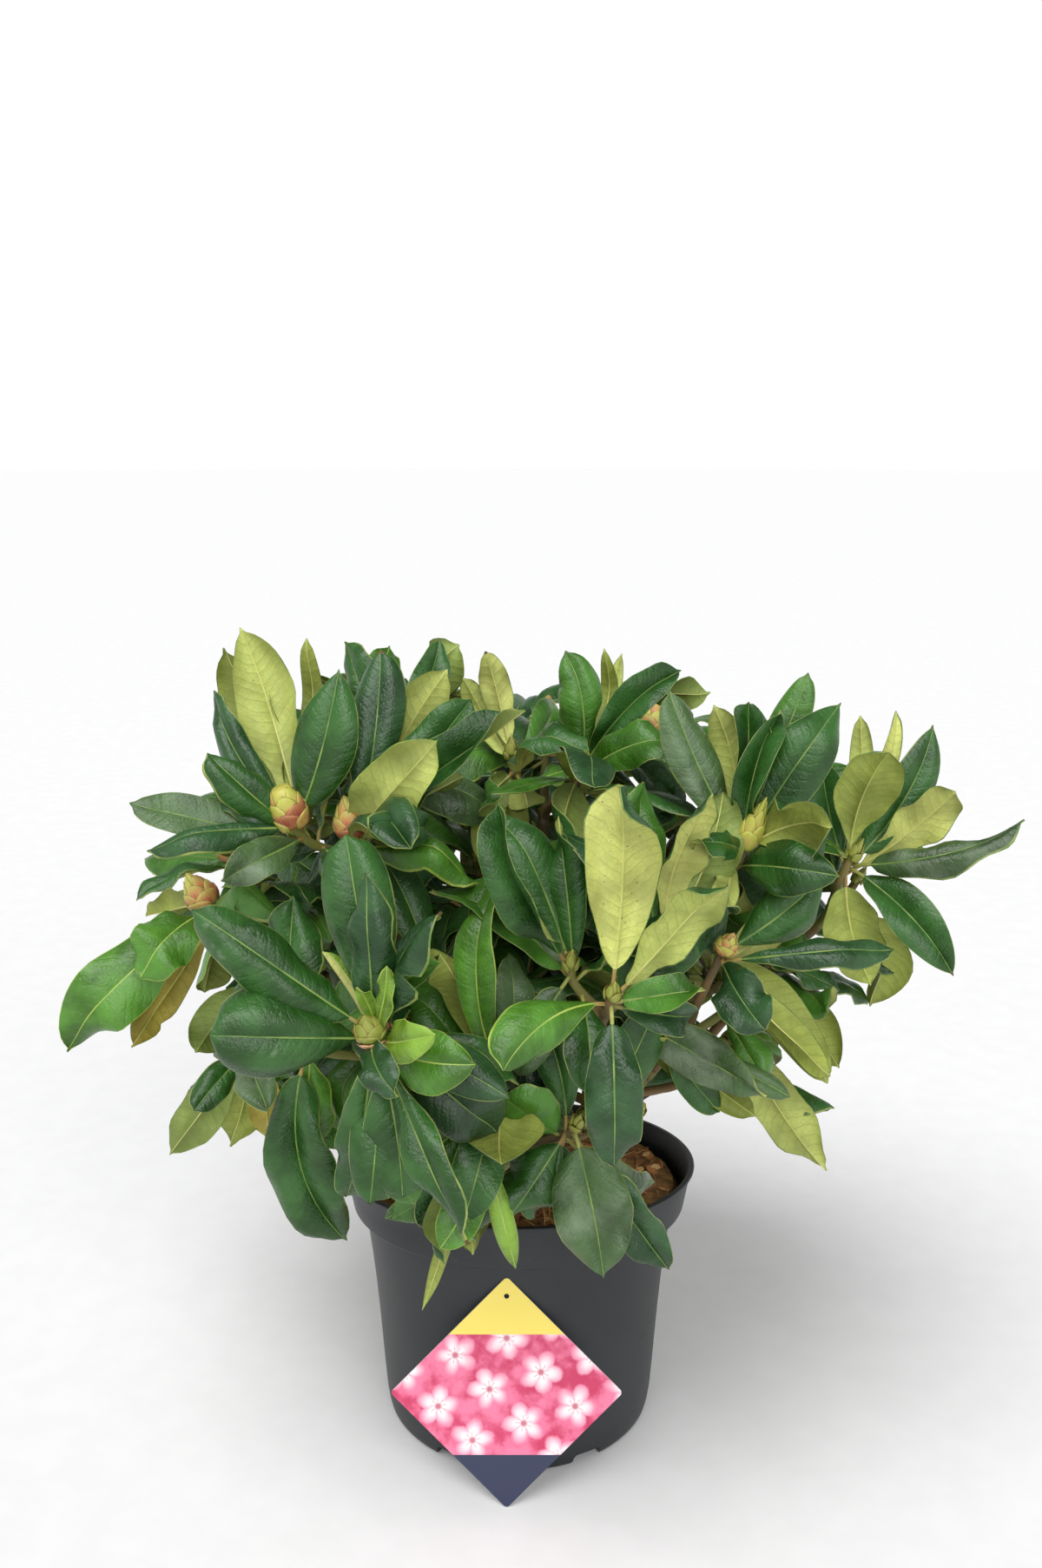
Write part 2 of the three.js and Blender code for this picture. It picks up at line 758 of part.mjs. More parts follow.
function compost() {
  const { top, bottom, clearance } = COMPOST;
  const inner = (level) => potRadius(level) - POT.wall - clearance;
  return ovalLathe([
    [0, bottom], [inner(bottom), bottom],
    ...WALL_LEVELS.map((level) => [inner(level), level]),
    [POT.bandRadius - POT.wall - clearance, top], [0, top],
  ]);
}

// The card stands on one corner in front of the pot and leans back on its wall.
function labelCard() {
  const half = CARD.side / 2;
  const shape = new THREE.Shape();
  const r = CARD.corner;
  shape.moveTo(-half + r, -half);
  shape.absarc(half - r, -half + r, r, -Math.PI / 2, 0);
  shape.absarc(half - r, half - r, r, 0, Math.PI / 2);
  shape.absarc(-half + r, half - r, r, Math.PI / 2, Math.PI);
  shape.absarc(-half + r, -half + r, r, Math.PI, 1.5 * Math.PI);
  const hole = new THREE.Path();
  const reach = (half * Math.SQRT2 - CARD.holeDrop) / Math.SQRT2;
  hole.absarc(reach, reach, CARD.hole / 2, 0, 2 * Math.PI);
  shape.holes.push(hole);
  const geometry = new THREE.ExtrudeGeometry(
    shape, { depth: CARD.thickness, bevelEnabled: false, curveSegments: 3 });
  geometry.rotateZ(Math.PI / 4);
  geometry.rotateX(Math.PI / 2);
  const drop = half * Math.SQRT2 - r * (Math.SQRT2 - 1);
  geometry.translate(0, 0, drop);
  const restHeight = 2 * drop;
  const lean = Math.asin((wallFront(CARD.x, restHeight) - GAP - CARD.footY) / restHeight);
  geometry.rotateX(-lean);
  geometry.translate(CARD.x, CARD.footY, CARD.thickness * Math.sin(lean));
  return solidOf(geometry);
}

// ---------------------------------------------------------------- the whole plant

const group = new THREE.Group();

function add(name, solid, material) {
  const mesh = new THREE.Mesh(geometryOf(solid), material);
  mesh.name = name;
  group.add(mesh);
}

// Limbs first, so that every leaf is tried against all of them. A parent comes before the
// boughs that it bears.
const limbs = {
  trunk: { curve: trunkCurve, root: TRUNK.radius, tip: TRUNK.forkRadius, cutter: trunk(GAP) },
};
const masses = [];
const trunkSolid = trunk(0);
const potSolid = pot();
const compostSolid = compost();
const cardSolid = labelCard();
keep('pot', potSolid);
keep('compost', compostSolid);
keep('card', cardSolid);
keep('trunk', trunkSolid);

for (const row of MASSES) {
  const parent = limbs[row.parent];
  const mass = layOut(row, parent.curve);
  const girth = THREE.MathUtils.lerp(parent.root, parent.tip, row.along);
  const root = row.leader ? LIMB.leader : Math.max(LIMB.leastRoot, LIMB.taper * girth);
  mass.bough = bough(mass, root, parent.cutter);
  mass.twigs = twigs(mass);
  mass.buds = mass.shoots.filter((shoot) => shoot.flower).map(flowerBud);
  mass.leaves = [];
  const cutter = limb(mass.curve, root, LIMB.tip, LIMB.boughSides, LIMB.boughSteps, GAP);
  limbs[mass.name] = { curve: mass.curve, root, tip: LIMB.tip, cutter };
  keep(`bough_${mass.name}`, mass.bough);
  keep(mass.name, mass.twigs);
  mass.buds.forEach((solid) => keep(mass.name, solid, null));
  masses.push(mass);
}

// Then the hand-set leaves of every shoot, and last the whorls that the rule makes.
const everyShoot = masses.flatMap((mass) => mass.shoots.map((shoot) => ({ mass, shoot })));
everyShoot.forEach(({ mass, shoot }, index) => {
  shoot.phase = 47 * index;
  shoot.leaves.forEach((row, number) => {
    const random = seeded(1000 * index + number);
    settle(mass, (swing) => handSetLeaf(shoot, number, swing, random), false);
  });
});
everyShoot.forEach(({ mass, shoot }, index) => {
  for (let number = 0; number < shoot.extra; number++) {
    const random = seeded(1000 * index + 500 + number);
    settle(mass, (swing) => whorlLeaf(shoot, number, swing, random), true);
  }
});

add('pot', potSolid, POT_PLASTIC);
add('compost', compostSolid, COMPOST_BARK);
add('label_card', cardSolid, CARD_FACE);
add('trunk', trunkSolid, BARK);
for (const mass of masses) {
  add(`bough_${mass.name}`, mass.bough, BARK);
  const joined = wasm.Manifold.union([mass.twigs, ...mass.buds, ...mass.leaves]);
  add(`foliage_${mass.name}`, oneBody(joined), FOLIAGE);
}

export default group;
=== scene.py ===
"""A young rhododendron in its nursery pot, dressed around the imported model.

The shrub is grown here again by the rule that made its solids: boughs leave the trunk, each bears
a mass of foliage, and each mass forks into shoots with a whorl of leaves round a bud. Here every
leaf gets its real outline, rib, rim, waves and thickness, the buds their scales, the wood its
bark, the pot its lip and feet, and the compost its chips. Millimetres are used up to the moment a
mesh is made, and the frame is in metres with -Y at the front.
"""

import json
import math
from collections import Counter

import bmesh
import bpy
import numpy as np
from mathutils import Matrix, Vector, noise
from mathutils.bvhtree import BVHTree

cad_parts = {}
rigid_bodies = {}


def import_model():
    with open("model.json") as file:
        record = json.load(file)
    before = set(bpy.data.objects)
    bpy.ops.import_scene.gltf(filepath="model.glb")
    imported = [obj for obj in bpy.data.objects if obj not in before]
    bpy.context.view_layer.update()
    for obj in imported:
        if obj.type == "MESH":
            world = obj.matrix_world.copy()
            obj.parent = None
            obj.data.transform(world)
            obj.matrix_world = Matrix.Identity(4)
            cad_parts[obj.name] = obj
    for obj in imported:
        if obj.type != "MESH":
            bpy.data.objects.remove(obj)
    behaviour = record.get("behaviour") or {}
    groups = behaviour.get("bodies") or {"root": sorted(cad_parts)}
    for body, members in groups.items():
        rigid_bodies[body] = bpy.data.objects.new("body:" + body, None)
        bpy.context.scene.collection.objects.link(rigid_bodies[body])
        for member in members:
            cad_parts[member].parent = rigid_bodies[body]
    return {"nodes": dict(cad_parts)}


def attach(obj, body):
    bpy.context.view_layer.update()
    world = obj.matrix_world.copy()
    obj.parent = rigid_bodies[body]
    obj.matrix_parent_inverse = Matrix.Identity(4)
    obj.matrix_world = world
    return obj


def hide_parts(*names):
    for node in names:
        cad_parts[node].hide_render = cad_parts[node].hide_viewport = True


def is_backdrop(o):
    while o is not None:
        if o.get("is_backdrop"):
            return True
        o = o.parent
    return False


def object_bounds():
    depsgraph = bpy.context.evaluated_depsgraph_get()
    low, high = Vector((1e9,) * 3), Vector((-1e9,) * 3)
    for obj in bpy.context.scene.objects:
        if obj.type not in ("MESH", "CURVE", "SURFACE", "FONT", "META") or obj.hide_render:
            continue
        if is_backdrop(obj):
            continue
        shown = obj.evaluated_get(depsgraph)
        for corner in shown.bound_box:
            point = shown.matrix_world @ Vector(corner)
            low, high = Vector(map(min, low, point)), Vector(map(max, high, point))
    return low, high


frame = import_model()
cad_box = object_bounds()

MM = 0.001
UP = np.array([0.0, 0.0, 1.0])
FRONT = np.array([0.0, -1.0, 0.0])
GOLDEN_ANGLE = 137.5

# ------------------------------------------------------------------ driving dimensions, in mm

POT_HEIGHT = 215
POT_WALL = 2
POT_BASE_RADIUS = 108.5
POT_WALL_SPREAD = 11
POT_BAND_RADIUS = 127.5
POT_BAND_FROM = 181
POT_LIP_RADIUS = 130
POT_LIP_HEIGHT = 3
POT_PAD_RADIUS = 22
POT_FOOT_HEIGHT = 10
POT_FEET = 6
POT_NOTCH_WIDTH = 25
POT_SQUEEZE = 0.12
POT_SIDES = 168

COMPOST_TOP = 186
COMPOST_CLEARANCE = 1.2
BED_RISE = 14  # how much higher the lumpy bed lies than the solid's flat top

TRUNK_FOOT = np.array([0.0, 0.0, COMPOST_TOP])
TRUNK_BEND = np.array([1.0, 2.0, 225.0])
TRUNK_TOP = np.array([7.0, -5.0, 264.0])
TRUNK_FOOT_RADIUS = 26
TRUNK_FLARE = 20
TRUNK_RADIUS = 15
TRUNK_FORK_RADIUS = 12.5

BOUGH_TAPER = 0.7
LEADER_RADIUS = 10
LEAST_ROOT = 4.8
BOUGH_TIP = 4.1
TWIG_FORK = 3.7
TWIG_TIP = 2.8
STEM_LENGTH = 24
STEM_DROOP = 0.35
SHOOT_LENGTH = 55
SHOOT_LIFT = 0.9
TWIG_STEPS = 3

# Shares of a limb's span over which it keeps the direction of its start or its end.
BOUGH_END_RUN = 0.42
TWIG_START_RUN = 0.3
TWIG_END_RUN = 0.4

LEAF_COARSE_THICKNESS = 1.8
LEAF_SWELL = 0.6
PETIOLE_END = 0.13
PETIOLE_WIDTH = 2.6
COARSE_STATIONS = ((0.42, 0.86), (0.76, 0.94))

# How far down from its shoot's end the first leaf has its foot, and how much further each next.
FIRST_LEAF = 3
LEAF_STEP = 2.3

# A leaf of a whorl: its least length, width share, bend and roll, and what chance may add.
WHORL_LENGTH = (84, 44)
WHORL_SLIMNESS = (0.34, 0.1)
WHORL_BEND = (12, 30)
WHORL_ROLL = (-25, 50)
HAND_SET_BEND = (10, 24)
# Degrees off the shoot's axis for the top leaf, the most that lower ones add, and by chance.
WHORL_SPREAD = 34
WHORL_WIDENING = 74
WHORL_SPREAD_CHANCE = 12
WHORL_HANG = 0.25
FULL_WHORL = 8
# Degrees that each shoot's whorl is turned further than the one before.
WHORL_TURN = 47

BUD_RADIUS = 13
BUD_LENGTH = 36
BUD_SUNK = 3

CARD_SIDE = 126
CARD_THICKNESS = 0.8
CARD_CORNER = 3
CARD_HOLE = 4
CARD_HOLE_DROP = 15
CARD_X = -9
CARD_FOOT_Y = -148
CARD_GAP = 0.3

CROWN_CENTRE = np.array([8.0, 5.0, 395.0])
CROWN_REACH = np.array([370.0, 325.0, 266.0])
CROWN_FLOOR = 232
SIDE_SHOOT_FLOOR = 252
HEART = np.array([0.0, 0.0, 300.0])  # the shoots grow away from here

# The camera stands here, and the leaves are thinned as seen from here.
EYE = np.array([2.0, -1165.0, 798.0])
CAMERA_PITCH = 77.23
CAMERA_LENS = 35

# ------------------------------------------------------------------ the plan of the shrub


def unit(vector):
    return vector / np.linalg.norm(vector)


class Shoot:
    """The end of a twig, with its bud and its leaves."""

    def __init__(self, at, whorl, flower=False, leaves=(), more=(), bud="pointed"):
        self.at = np.array(at, float)
        self.whorl = whorl
        self.flower = flower
        self.leaves = leaves
        self.more = more
        self.bud = bud
        self.axis = unit(unit(self.at - HEART) + SHOOT_LIFT * UP)
        self.curve = None
        self.phase = 0


# A mass is its name, the limb that bears its bough, how far along that limb the bough leaves it,
# and its shoots. A shoot has its place, the number of leaves in its whorl, and its listed leaves.
# Such a leaf is (clock, lean, length, width, roll): the way its tip points as on a clock face
# seen from the front, in degrees, how far it leans to the front, and how its upper face is turned
# about its rib away from the front. Words after that give its tint and form. The solids have
# every leaf under leaves, and the dressed shrub does without those marked left_out. It alone has
# those under more, which are set once the others stand.
MASSES = [
    ("top_centre", "trunk", 0.95, [
        Shoot((48, -62, 562), whorl=3, leaves=[
            (-8, 0, 90, 34, 10), (44, 0, 107, 32, -15), (68, 28, 96, 36, -35),
            (15, -28, 97, 15, 160), (23, -36, 105, 17, 180), (38, -34, 90, 30, 175),
            (-160, 54, 92, 40, 150), (-94, 48, 100, 17, 70),
        ]),
        Shoot((-5, -45, 565), whorl=3, leaves=[
            (-14, -7, 82, 24, 175), (-34, -25, 74, 26, 190), (-139, 60, 65, 28, 150),
            (-168, 15, 88, 44, 175), (43, -49, 80, 30, 0), (160, 60, 70, 30, 160),
        ]),
        Shoot((22, 18, 572), whorl=7, flower=True),
    ]),
    ("upper_left", "top_centre", 0.22, [
        Shoot((-155, -145, 540), whorl=1, flower=True, bud="barrel", more=[
            (6, -30, 140, 16, 160, "olive"),
        ], leaves=[
            (17, -11, 110, 46, -10, "deep", "pointed", "flat"),
            (-18, -22, 145, 45, 175, "pale", "wavy", "upright"),
            (-26, -30, 145, 50, 165, "olive", "wavy"),
            (-35, -20, 115, 32, 10, "blue", "slim"), (-45, -6, 92, 32, 35, "deep", "short"),
            (-78, 10, 115, 32, 35, "dusty"),
            (-90, 25, 105, 28, 60, "blue", "rolled"),
            (-120, 50, 72, 30, 20, "dusty", "turned_right"), (-80, -50, 90, 32, 200),
            (-58, 10, 62, 22, 50),
        ]),
        Shoot((-115, -130, 530), whorl=2, flower=True, leaves=[
            (40, 25, 108, 46, 170, "pale", "long", "seated", "sagging", "wavy"),
            (55, 0, 150, 40, -30, "deep", "folded"), (43, -12, 125, 40, -20, "deep"),
            (8, -18, 130, 38, 10, "blue"), (31, -4, 133, 38, 185, "pale"),
            (87, 30, 100, 28, -60, "olive", "rolled", "hooked"),
            (71, 36, 105, 34, 150, "blue", "hooked", "rolled"),
        ]),
        Shoot((-105, -40, 570), whorl=3, leaves=[
            (30, -5, 98, 32, 10), (-20, -10, 78, 34, -10, "deep", "long"), (-37, 0, 90, 15, 160),
            (5, -15, 78, 36, 0, "fresh", "long"),
        ]),
    ]),
    ("left", "upper_left", 0.5, [
        Shoot((-230, -90, 465), whorl=2, flower=True, leaves=[
            (-134, 20, 138, 66, 15, "fresh", "slim", "long", "wavy"),
            (-130, 52, 80, 44, 25, "fresh", "wavy"),
            (-150, 0, 130, 28, 170, "amber", "turned_left", "bitten"),
            (-115, -36, 95, 32, 150, "olive", "short"),
            (50, 40, 90, 26, -100, "leaf", "hooked", "rolled"),
            (84, 25, 95, 30, -40),
        ]),
        Shoot((-175, -45, 455), whorl=6),
    ]),
    ("front_left", "trunk", 0.36, [
        Shoot((-95, -240, 425), whorl=2, bud="opening", more=[
            (159, -12, 134, 34, 0, "leaf", "flat"), (-10, 28, 44, 11, 20, "young", "wavy"),
            (5, 22, 54, 14, -30, "young", "wavy"), (-32, -26, 62, 16, 80, "young", "folded"),
            (112, 14, 100, 32, -20, "blue", "flat"),
            (170, 8, 114, 46, 0, "deep", "blunt"),
            (154, 13, 151, 38, 10, "deep", "turned_left", "slim"),
            (-179, 10, 118, 36, 0, "deep", "flat"),
        ], leaves=[
            (-52, 5, 140, 48, 15, "deep", "wavy", "leaning_left", "slim"),
            (-83, 15, 105, 58, 10, "deep", "blunt", "flat"),
            (-8, -10, 130, 46, -5, "deep", "flat", "blunt"),
            (-1, 8, 112, 30, -15, "blue", "wavy"), (69, 46, 62, 24, -30, "young", "broad"),
            (97, 28, 76, 42, -20, "fresh", "flat"),
            (141, 52, 56, 28, -10, "blue", "wavy"),
            (109, 0, 110, 28, -35, "deep", "broad", "sagging", "turned_right"),
            (133, 2, 118, 46, -5, "dark", "flat"),
            (-171, -10, 132, 34, 10, "deep", "wavy"),
            (172, -2, 127, 48, 0, "deep", "blunt", "flat"),
        ]),
        Shoot((-145, -185, 395), whorl=3, leaves=[
            (172, -6, 162, 56, 0, "deep", "wavy", "swept_right"), (-175, -15, 95, 36, 20),
        ]),
        Shoot((-60, -140, 430), whorl=6),
    ]),
    ("lower_left", "front_left", 0.42, [
        Shoot((-205, -55, 395), whorl=4, leaves=[
            (-142, 10, 88, 36, 180, "shade", "short"), (-165, -15, 80, 30, 160),
        ]),
        Shoot((-200, -115, 362), whorl=2, leaves=[
            (-145, 0, 97, 42, 180, "shade", "long", "wavy"), (170, 0, 85, 28, 180, "amber"),
            (-168, -12, 95, 34, 170, "olive", "turned_left"),
            (-135, 45, 62, 26, 0),
        ]),
        Shoot((-215, 0, 345), whorl=6),
    ]),
    ("front_centre", "trunk", 0.76, [
        Shoot((60, -245, 450), whorl=1, leaves=[
            (2, 0, 141, 52, 180, "cream", "wavy", "blunt"),
            (39, 12, 100, 36, 190, "pale", "wavy", "broad", "long"),
            (-111, 38, 92, 36, 20, "fresh", "swept_right"),
            (179, 15, 114, 38, 0, "blue", "even", "wavy"), (80, 10, 62, 26, -30, "leaf"),
            (111, -18, 68, 28, -20),
        ]),
        Shoot((35, -195, 452), whorl=2, leaves=[
            (-27, 13, 135, 38, -30, "deep", "folded"), (-24, 0, 126, 40, 20, "deep", "flat"),
            (-4, -17, 104, 30, -20),
            (-156, -6, 90, 36, 0),
        ]),
        Shoot((102, -170, 465), whorl=3, leaves=[
            (16, 0, 106, 30, 200, "cream", "wavy"),
            (24, -22, 110, 42, 175, "shade", "wavy"), (-8, -32, 114, 36, 0),
        ]),
    ]),
    ("low_front", "front_centre", 0.45, [
        Shoot((-12, -185, 370), whorl=2, more=[
            (-180, 58, 74, 56, 168, "olive", "flat"), (-159, 24, 104, 36, 0, "deep"),
            (-145, 17, 106, 34, 10, "leaf", "flat"),
        ], leaves=[
            (-4, 7, 154, 42, -20, "fresh", "blunt", "slim"),
            (-23, 17, 104, 34, 200, "olive", "turned_left", "folded"),
            (-30, 0, 105, 28, 180, "olive", "folded"),
        ]),
        Shoot((40, -190, 335), whorl=3, more=[
            (69, 11, 54, 28, 170, "olive"), (-156, 7, 80, 32, 10, "deep"),
            (-171, 4, 76, 30, -10, "blue"), (138, -18, 110, 26, 0, "dusty"),
            (-58, 14, 62, 44, -25, "leaf", "flat", "blunt"),
        ], leaves=[
            (169, 17, 105, 58, 0, "dusty", "wavy", "pointed"),
            (149, 0, 114, 40, 10, "blue", "long", "wavy"),
            (-142, 15, 80, 40, 10, "deep", "rolled"),
            (-56, 22, 62, 44, 0, "left_out"),
        ]),
        Shoot((-25, -205, 335), whorl=3, more=[
            (-158, 7, 90, 32, 165, "shade"), (-157, 26, 80, 30, 0, "fresh"),
            (-126, -9, 100, 26, 0, "deep"),
            (-137, -6, 94, 36, 10, "leaf", "flat"), (-170, -2, 84, 30, 10, "blue"),
        ], leaves=[
            (166, 6, 100, 16, -10, "young", "flat"),
            (75, 30, 50, 36, 170, "left_out"),
            (-175, -6, 96, 22, 150, "olive", "turned_left", "broad"),
            (-162, -4, 144, 15, 175, "olive", "slim"), (-150, 0, 85, 34, 0),
        ]),
    ]),
    ("upper_right", "top_centre", 0.1, [
        Shoot((160, -130, 520), whorl=1, flower=True, bud="tall", more=[
            (62, 39, 82, 50, 175, "olive", "blunt"),
        ], leaves=[
            (-26, -5, 123, 36, 20, "dusty", "bitten"), (-12, -22, 105, 30, 170, "pale"),
            (5, -22, 108, 36, 10, "deep", "folded"),
            (14, -11, 103, 30, -20, "pale", "folded"),
            (35, -9, 129, 46, -10, "deep", "pointed", "flat"),
            (-25, 23, 89, 34, 190, "olive", "folded", "slim"),
            (10, 47, 88, 36, 170, "left_out"),
            (66, 52, 92, 44, 175, "left_out"),
            (89, 57, 99, 50, -15, "deep", "flat", "short", "slim"),
            (-62, 52, 66, 22, 40, "deep", "turned_left"),
            (-143, 56, 71, 28, 170, "pale", "turned_left"), (-147, 28, 84, 42, -10, "deep", "long"),
        ]),
        Shoot((170, -50, 525), whorl=8, leaves=[
            (25, -10, 115, 30, 0),
        ]),
    ]),
    ("right", "upper_right", 0.5, [
        Shoot((250, -60, 490), whorl=2, more=[
            (138, 26, 101, 38, -10, "deep", "pointed", "long"), (-14, -22, 84, 32, 0, "deep"),
            (172, 16, 98, 44, 170, "olive", "wavy"),
        ], leaves=[
            (9, 26, 102, 46, 175, "olive", "blunt", "flat"),
            (33, -14, 121, 38, -5, "deep", "pointed"),
            (51, 0, 93, 40, 185, "cream", "wavy", "blunt"),
            (72, 0, 128, 28, -50, "dusty", "wavy", "swept_right"),
            (136, 28, 97, 44, -10, "left_out"), (158, -5, 113, 32, 165, "left_out"),
            (27, -39, 140, 15, 150), (16, -31, 117, 20, 160),
        ]),
        Shoot((272, 15, 450), whorl=6),
    ]),
    ("lower_right", "trunk", 0.5, [
        Shoot((145, -150, 450), whorl=1, flower=True, bud="small", leaves=[
            (52, 0, 76, 34, -20, "deep", "flat", "long", "broad"),
            (152, 52, 70, 40, 0, "blue", "wavy", "turned_left"),
            (84, 11, 106, 24, -45, "blue", "wavy", "long"),
            (144, -4, 131, 34, 170, "olive"),
            (137, 10, 120, 30, 190, "olive", "folded"), (79, -39, 64, 36, 180),
        ]),
        Shoot((155, -105, 390), whorl=2, leaves=[
            (149, 9, 131, 44, 178, "pale", "wavy", "long"),
            (102, -7, 78, 17, -50, "dusty", "hooked"), (151, 45, 72, 30, 10),
        ]),
        Shoot((100, -150, 385), whorl=1, leaves=[
            (114, 22, 108, 38, -15, "dusty", "long", "drawn_in", "sagging"),
            (131, 0, 133, 32, 160, "olive", "drawn_in"),
            (114, 6, 92, 22, -50, "dusty", "long"),
            (143, -15, 76, 26, 0),
        ]),
    ]),
    ("side_right", "lower_right", 0.45, [
        Shoot((215, 5, 385), whorl=6, more=[
            (152, 5, 100, 40, 175, "olive", "flat"), (-70, 25, 60, 32, 165, "olive"),
        ]),
        Shoot((190, 75, 345), whorl=6),
    ]),
    ("back_top_left", "top_centre", 0.38, [
        Shoot((-125, 60, 560), whorl=7, flower=True),
        Shoot((-195, 5, 530), whorl=6),
    ]),
    ("back_left", "back_top_left", 0.45, [
        Shoot((-240, 75, 455), whorl=6, flower=True),
        Shoot((-205, 145, 420), whorl=6),
    ]),
    ("back_top_right", "top_centre", 0.3, [
        Shoot((110, 75, 560), whorl=7, flower=True),
        Shoot((195, 40, 520), whorl=6),
    ]),
    ("back_right", "back_top_right", 0.45, [
        Shoot((240, 95, 450), whorl=6, flower=True),
        Shoot((190, 160, 425), whorl=6),
    ]),
    ("back_centre", "trunk", 0.7, [
        Shoot((-5, 150, 540), whorl=7, flower=True),
        Shoot((-85, 195, 485), whorl=6),
        Shoot((75, 200, 480), whorl=6, flower=True),
    ]),
    ("back_low_left", "trunk", 0.32, [
        Shoot((-120, 215, 380), whorl=6),
        Shoot((-205, 90, 345), whorl=6),
    ]),
    ("back_low_right", "trunk", 0.5, [
        Shoot((20, 240, 385), whorl=6),
        Shoot((125, 205, 350), whorl=6),
    ]),
]

LEADER = "top_centre"

# Leaves and short shoots that fill the inside of the crown.
INNER_LEAVES = 4
INNER_SHARE = 0.86
INNER_FLOOR = 290
SIDE_SHOOTS = 5
SIDE_SHOOT_FROM = 0.25  # of the bough's length
SIDE_SHOOT_SPAN = 0.68
SIDE_SHOOT_LENGTH = 62
SIDE_SHOOT_RUN = 0.35
SIDE_WHORL = 8

# Places (x, z) in the upright plane y = 0 where the eye sees past the shrub, or to the compost.
OPEN_SPOTS = (
    (-280, 435), (-275, 340), (-275, 465), (-270, 295), (-260, 380), (-250, 325), (-250, 350),
    (-235, 545), (-230, 380), (-200, 550), (-199, 508), (-189, 508), (-113, 228), (-40, 585),
    (-15, 620), (8, 221), (20, 620), (52, 201), (90, 630), (100, 250), (115, 265), (135, 205),
    (135, 320), (145, 355), (160, 340), (165, 290), (165, 605), (170, 490), (200, 365),
    (200, 490), (215, 340), (220, 430), (225, 320), (230, 415), (265, 290), (285, 465),
    (319, 474), (348, 393),
)

# ------------------------------------------------------------------ small geometry


def turned(vector, axis, angle):
    """The vector turned about a unit axis, by an angle in radians."""
    level = axis * (axis @ vector) * (1 - math.cos(angle))
    return vector * math.cos(angle) + np.cross(axis, vector) * math.sin(angle) + level


def across(vector, direction):
    """The part of the vector that is square to a unit direction, at unit length."""
    return unit(vector - (vector @ direction) * direction)


def smooth(value, low, high):
    """An eased ramp from 0 at low to 1 at high."""
    t = np.clip((value - low) / (high - low), 0, 1)
    return t * t * (3 - 2 * t)


def seeded(seed):
    """A repeatable stream of numbers between 0 and 1."""
    state = (seed * 7919 + 12345) % 2147483647

    def draw():
        nonlocal state
        state = state * 48271 % 2147483647
        return state / 2147483647

    return draw


def drawn(size, draw):
    """A size given as its least value and what chance may add."""
    least, more = size
    return least + more * draw()


class Curve:
    """A Bezier curve that can also be read by its length."""

    READINGS = 200

    def __init__(self, *points):
        self.points = [np.array(point, float) for point in points]
        self.shares = np.linspace(0, 1, self.READINGS + 1)
        track = np.array([self.at(t) for t in self.shares])
        steps = np.linalg.norm(np.diff(track, axis=0), axis=1)
        self.reached = np.concatenate([[0], np.cumsum(steps)])
        self.length = self.reached[-1]

    def at(self, t):
        points = self.points
        while len(points) > 1:
            points = [a + (b - a) * t for a, b in zip(points, points[1:])]
        return points[0]

    def along(self, share):
        """The point at a share of the curve's length."""
        return self.at(np.interp(share * self.length, self.reached, self.shares))

    def track(self, steps):
        return np.array([self.along(i / steps) for i in range(steps + 1)])


def cross_directions(track):
    """Two directions square to a track at each of its points, with no sudden turns."""
    tangents = np.gradient(track, axis=0)
    tangents /= np.linalg.norm(tangents, axis=1, keepdims=True)
    start = FRONT if abs(tangents[0] @ FRONT) < 0.9 else UP
    side = across(start, tangents[0])
    sides = []
    for tangent in tangents:
        side = across(side, tangent)
        sides.append(side)
    return np.array(sides), np.cross(tangents, sides)


def ring_faces(rings, around):
    """Quads between rings of points, and a cap at each end, all facing out."""
    faces = []
    for r in range(rings - 1):
        here = r * around
        for i in range(around):
            j = (i + 1) % around
            faces.append((here + i, here + j, here + around + j, here + around + i))
    faces.append(tuple(range(around - 1, -1, -1)))
    last = (rings - 1) * around
    faces.append(tuple(range(last, last + around)))
    return faces


def tube(track, radii, sides):
    """Points and faces of a tube along a track. The radii have a row for each point, and in it
    one number or one for each side."""
    across_a, across_b = cross_directions(track)
    angles = np.arange(sides) * 2 * math.pi / sides
    radii = np.broadcast_to(np.reshape(radii, (len(track), -1)), (len(track), sides))
    round_a = (radii * np.cos(angles))[..., None] * across_a[:, None]
    round_b = (radii * np.sin(angles))[..., None] * across_b[:, None]
    points = track[:, None] + round_a + round_b
    return points.reshape(-1, 3), ring_faces(len(track), sides)


def tree_of(points, faces):
    return BVHTree.FromPolygons(points.tolist(), faces)


# ------------------------------------------------------------------ the coarse leaf


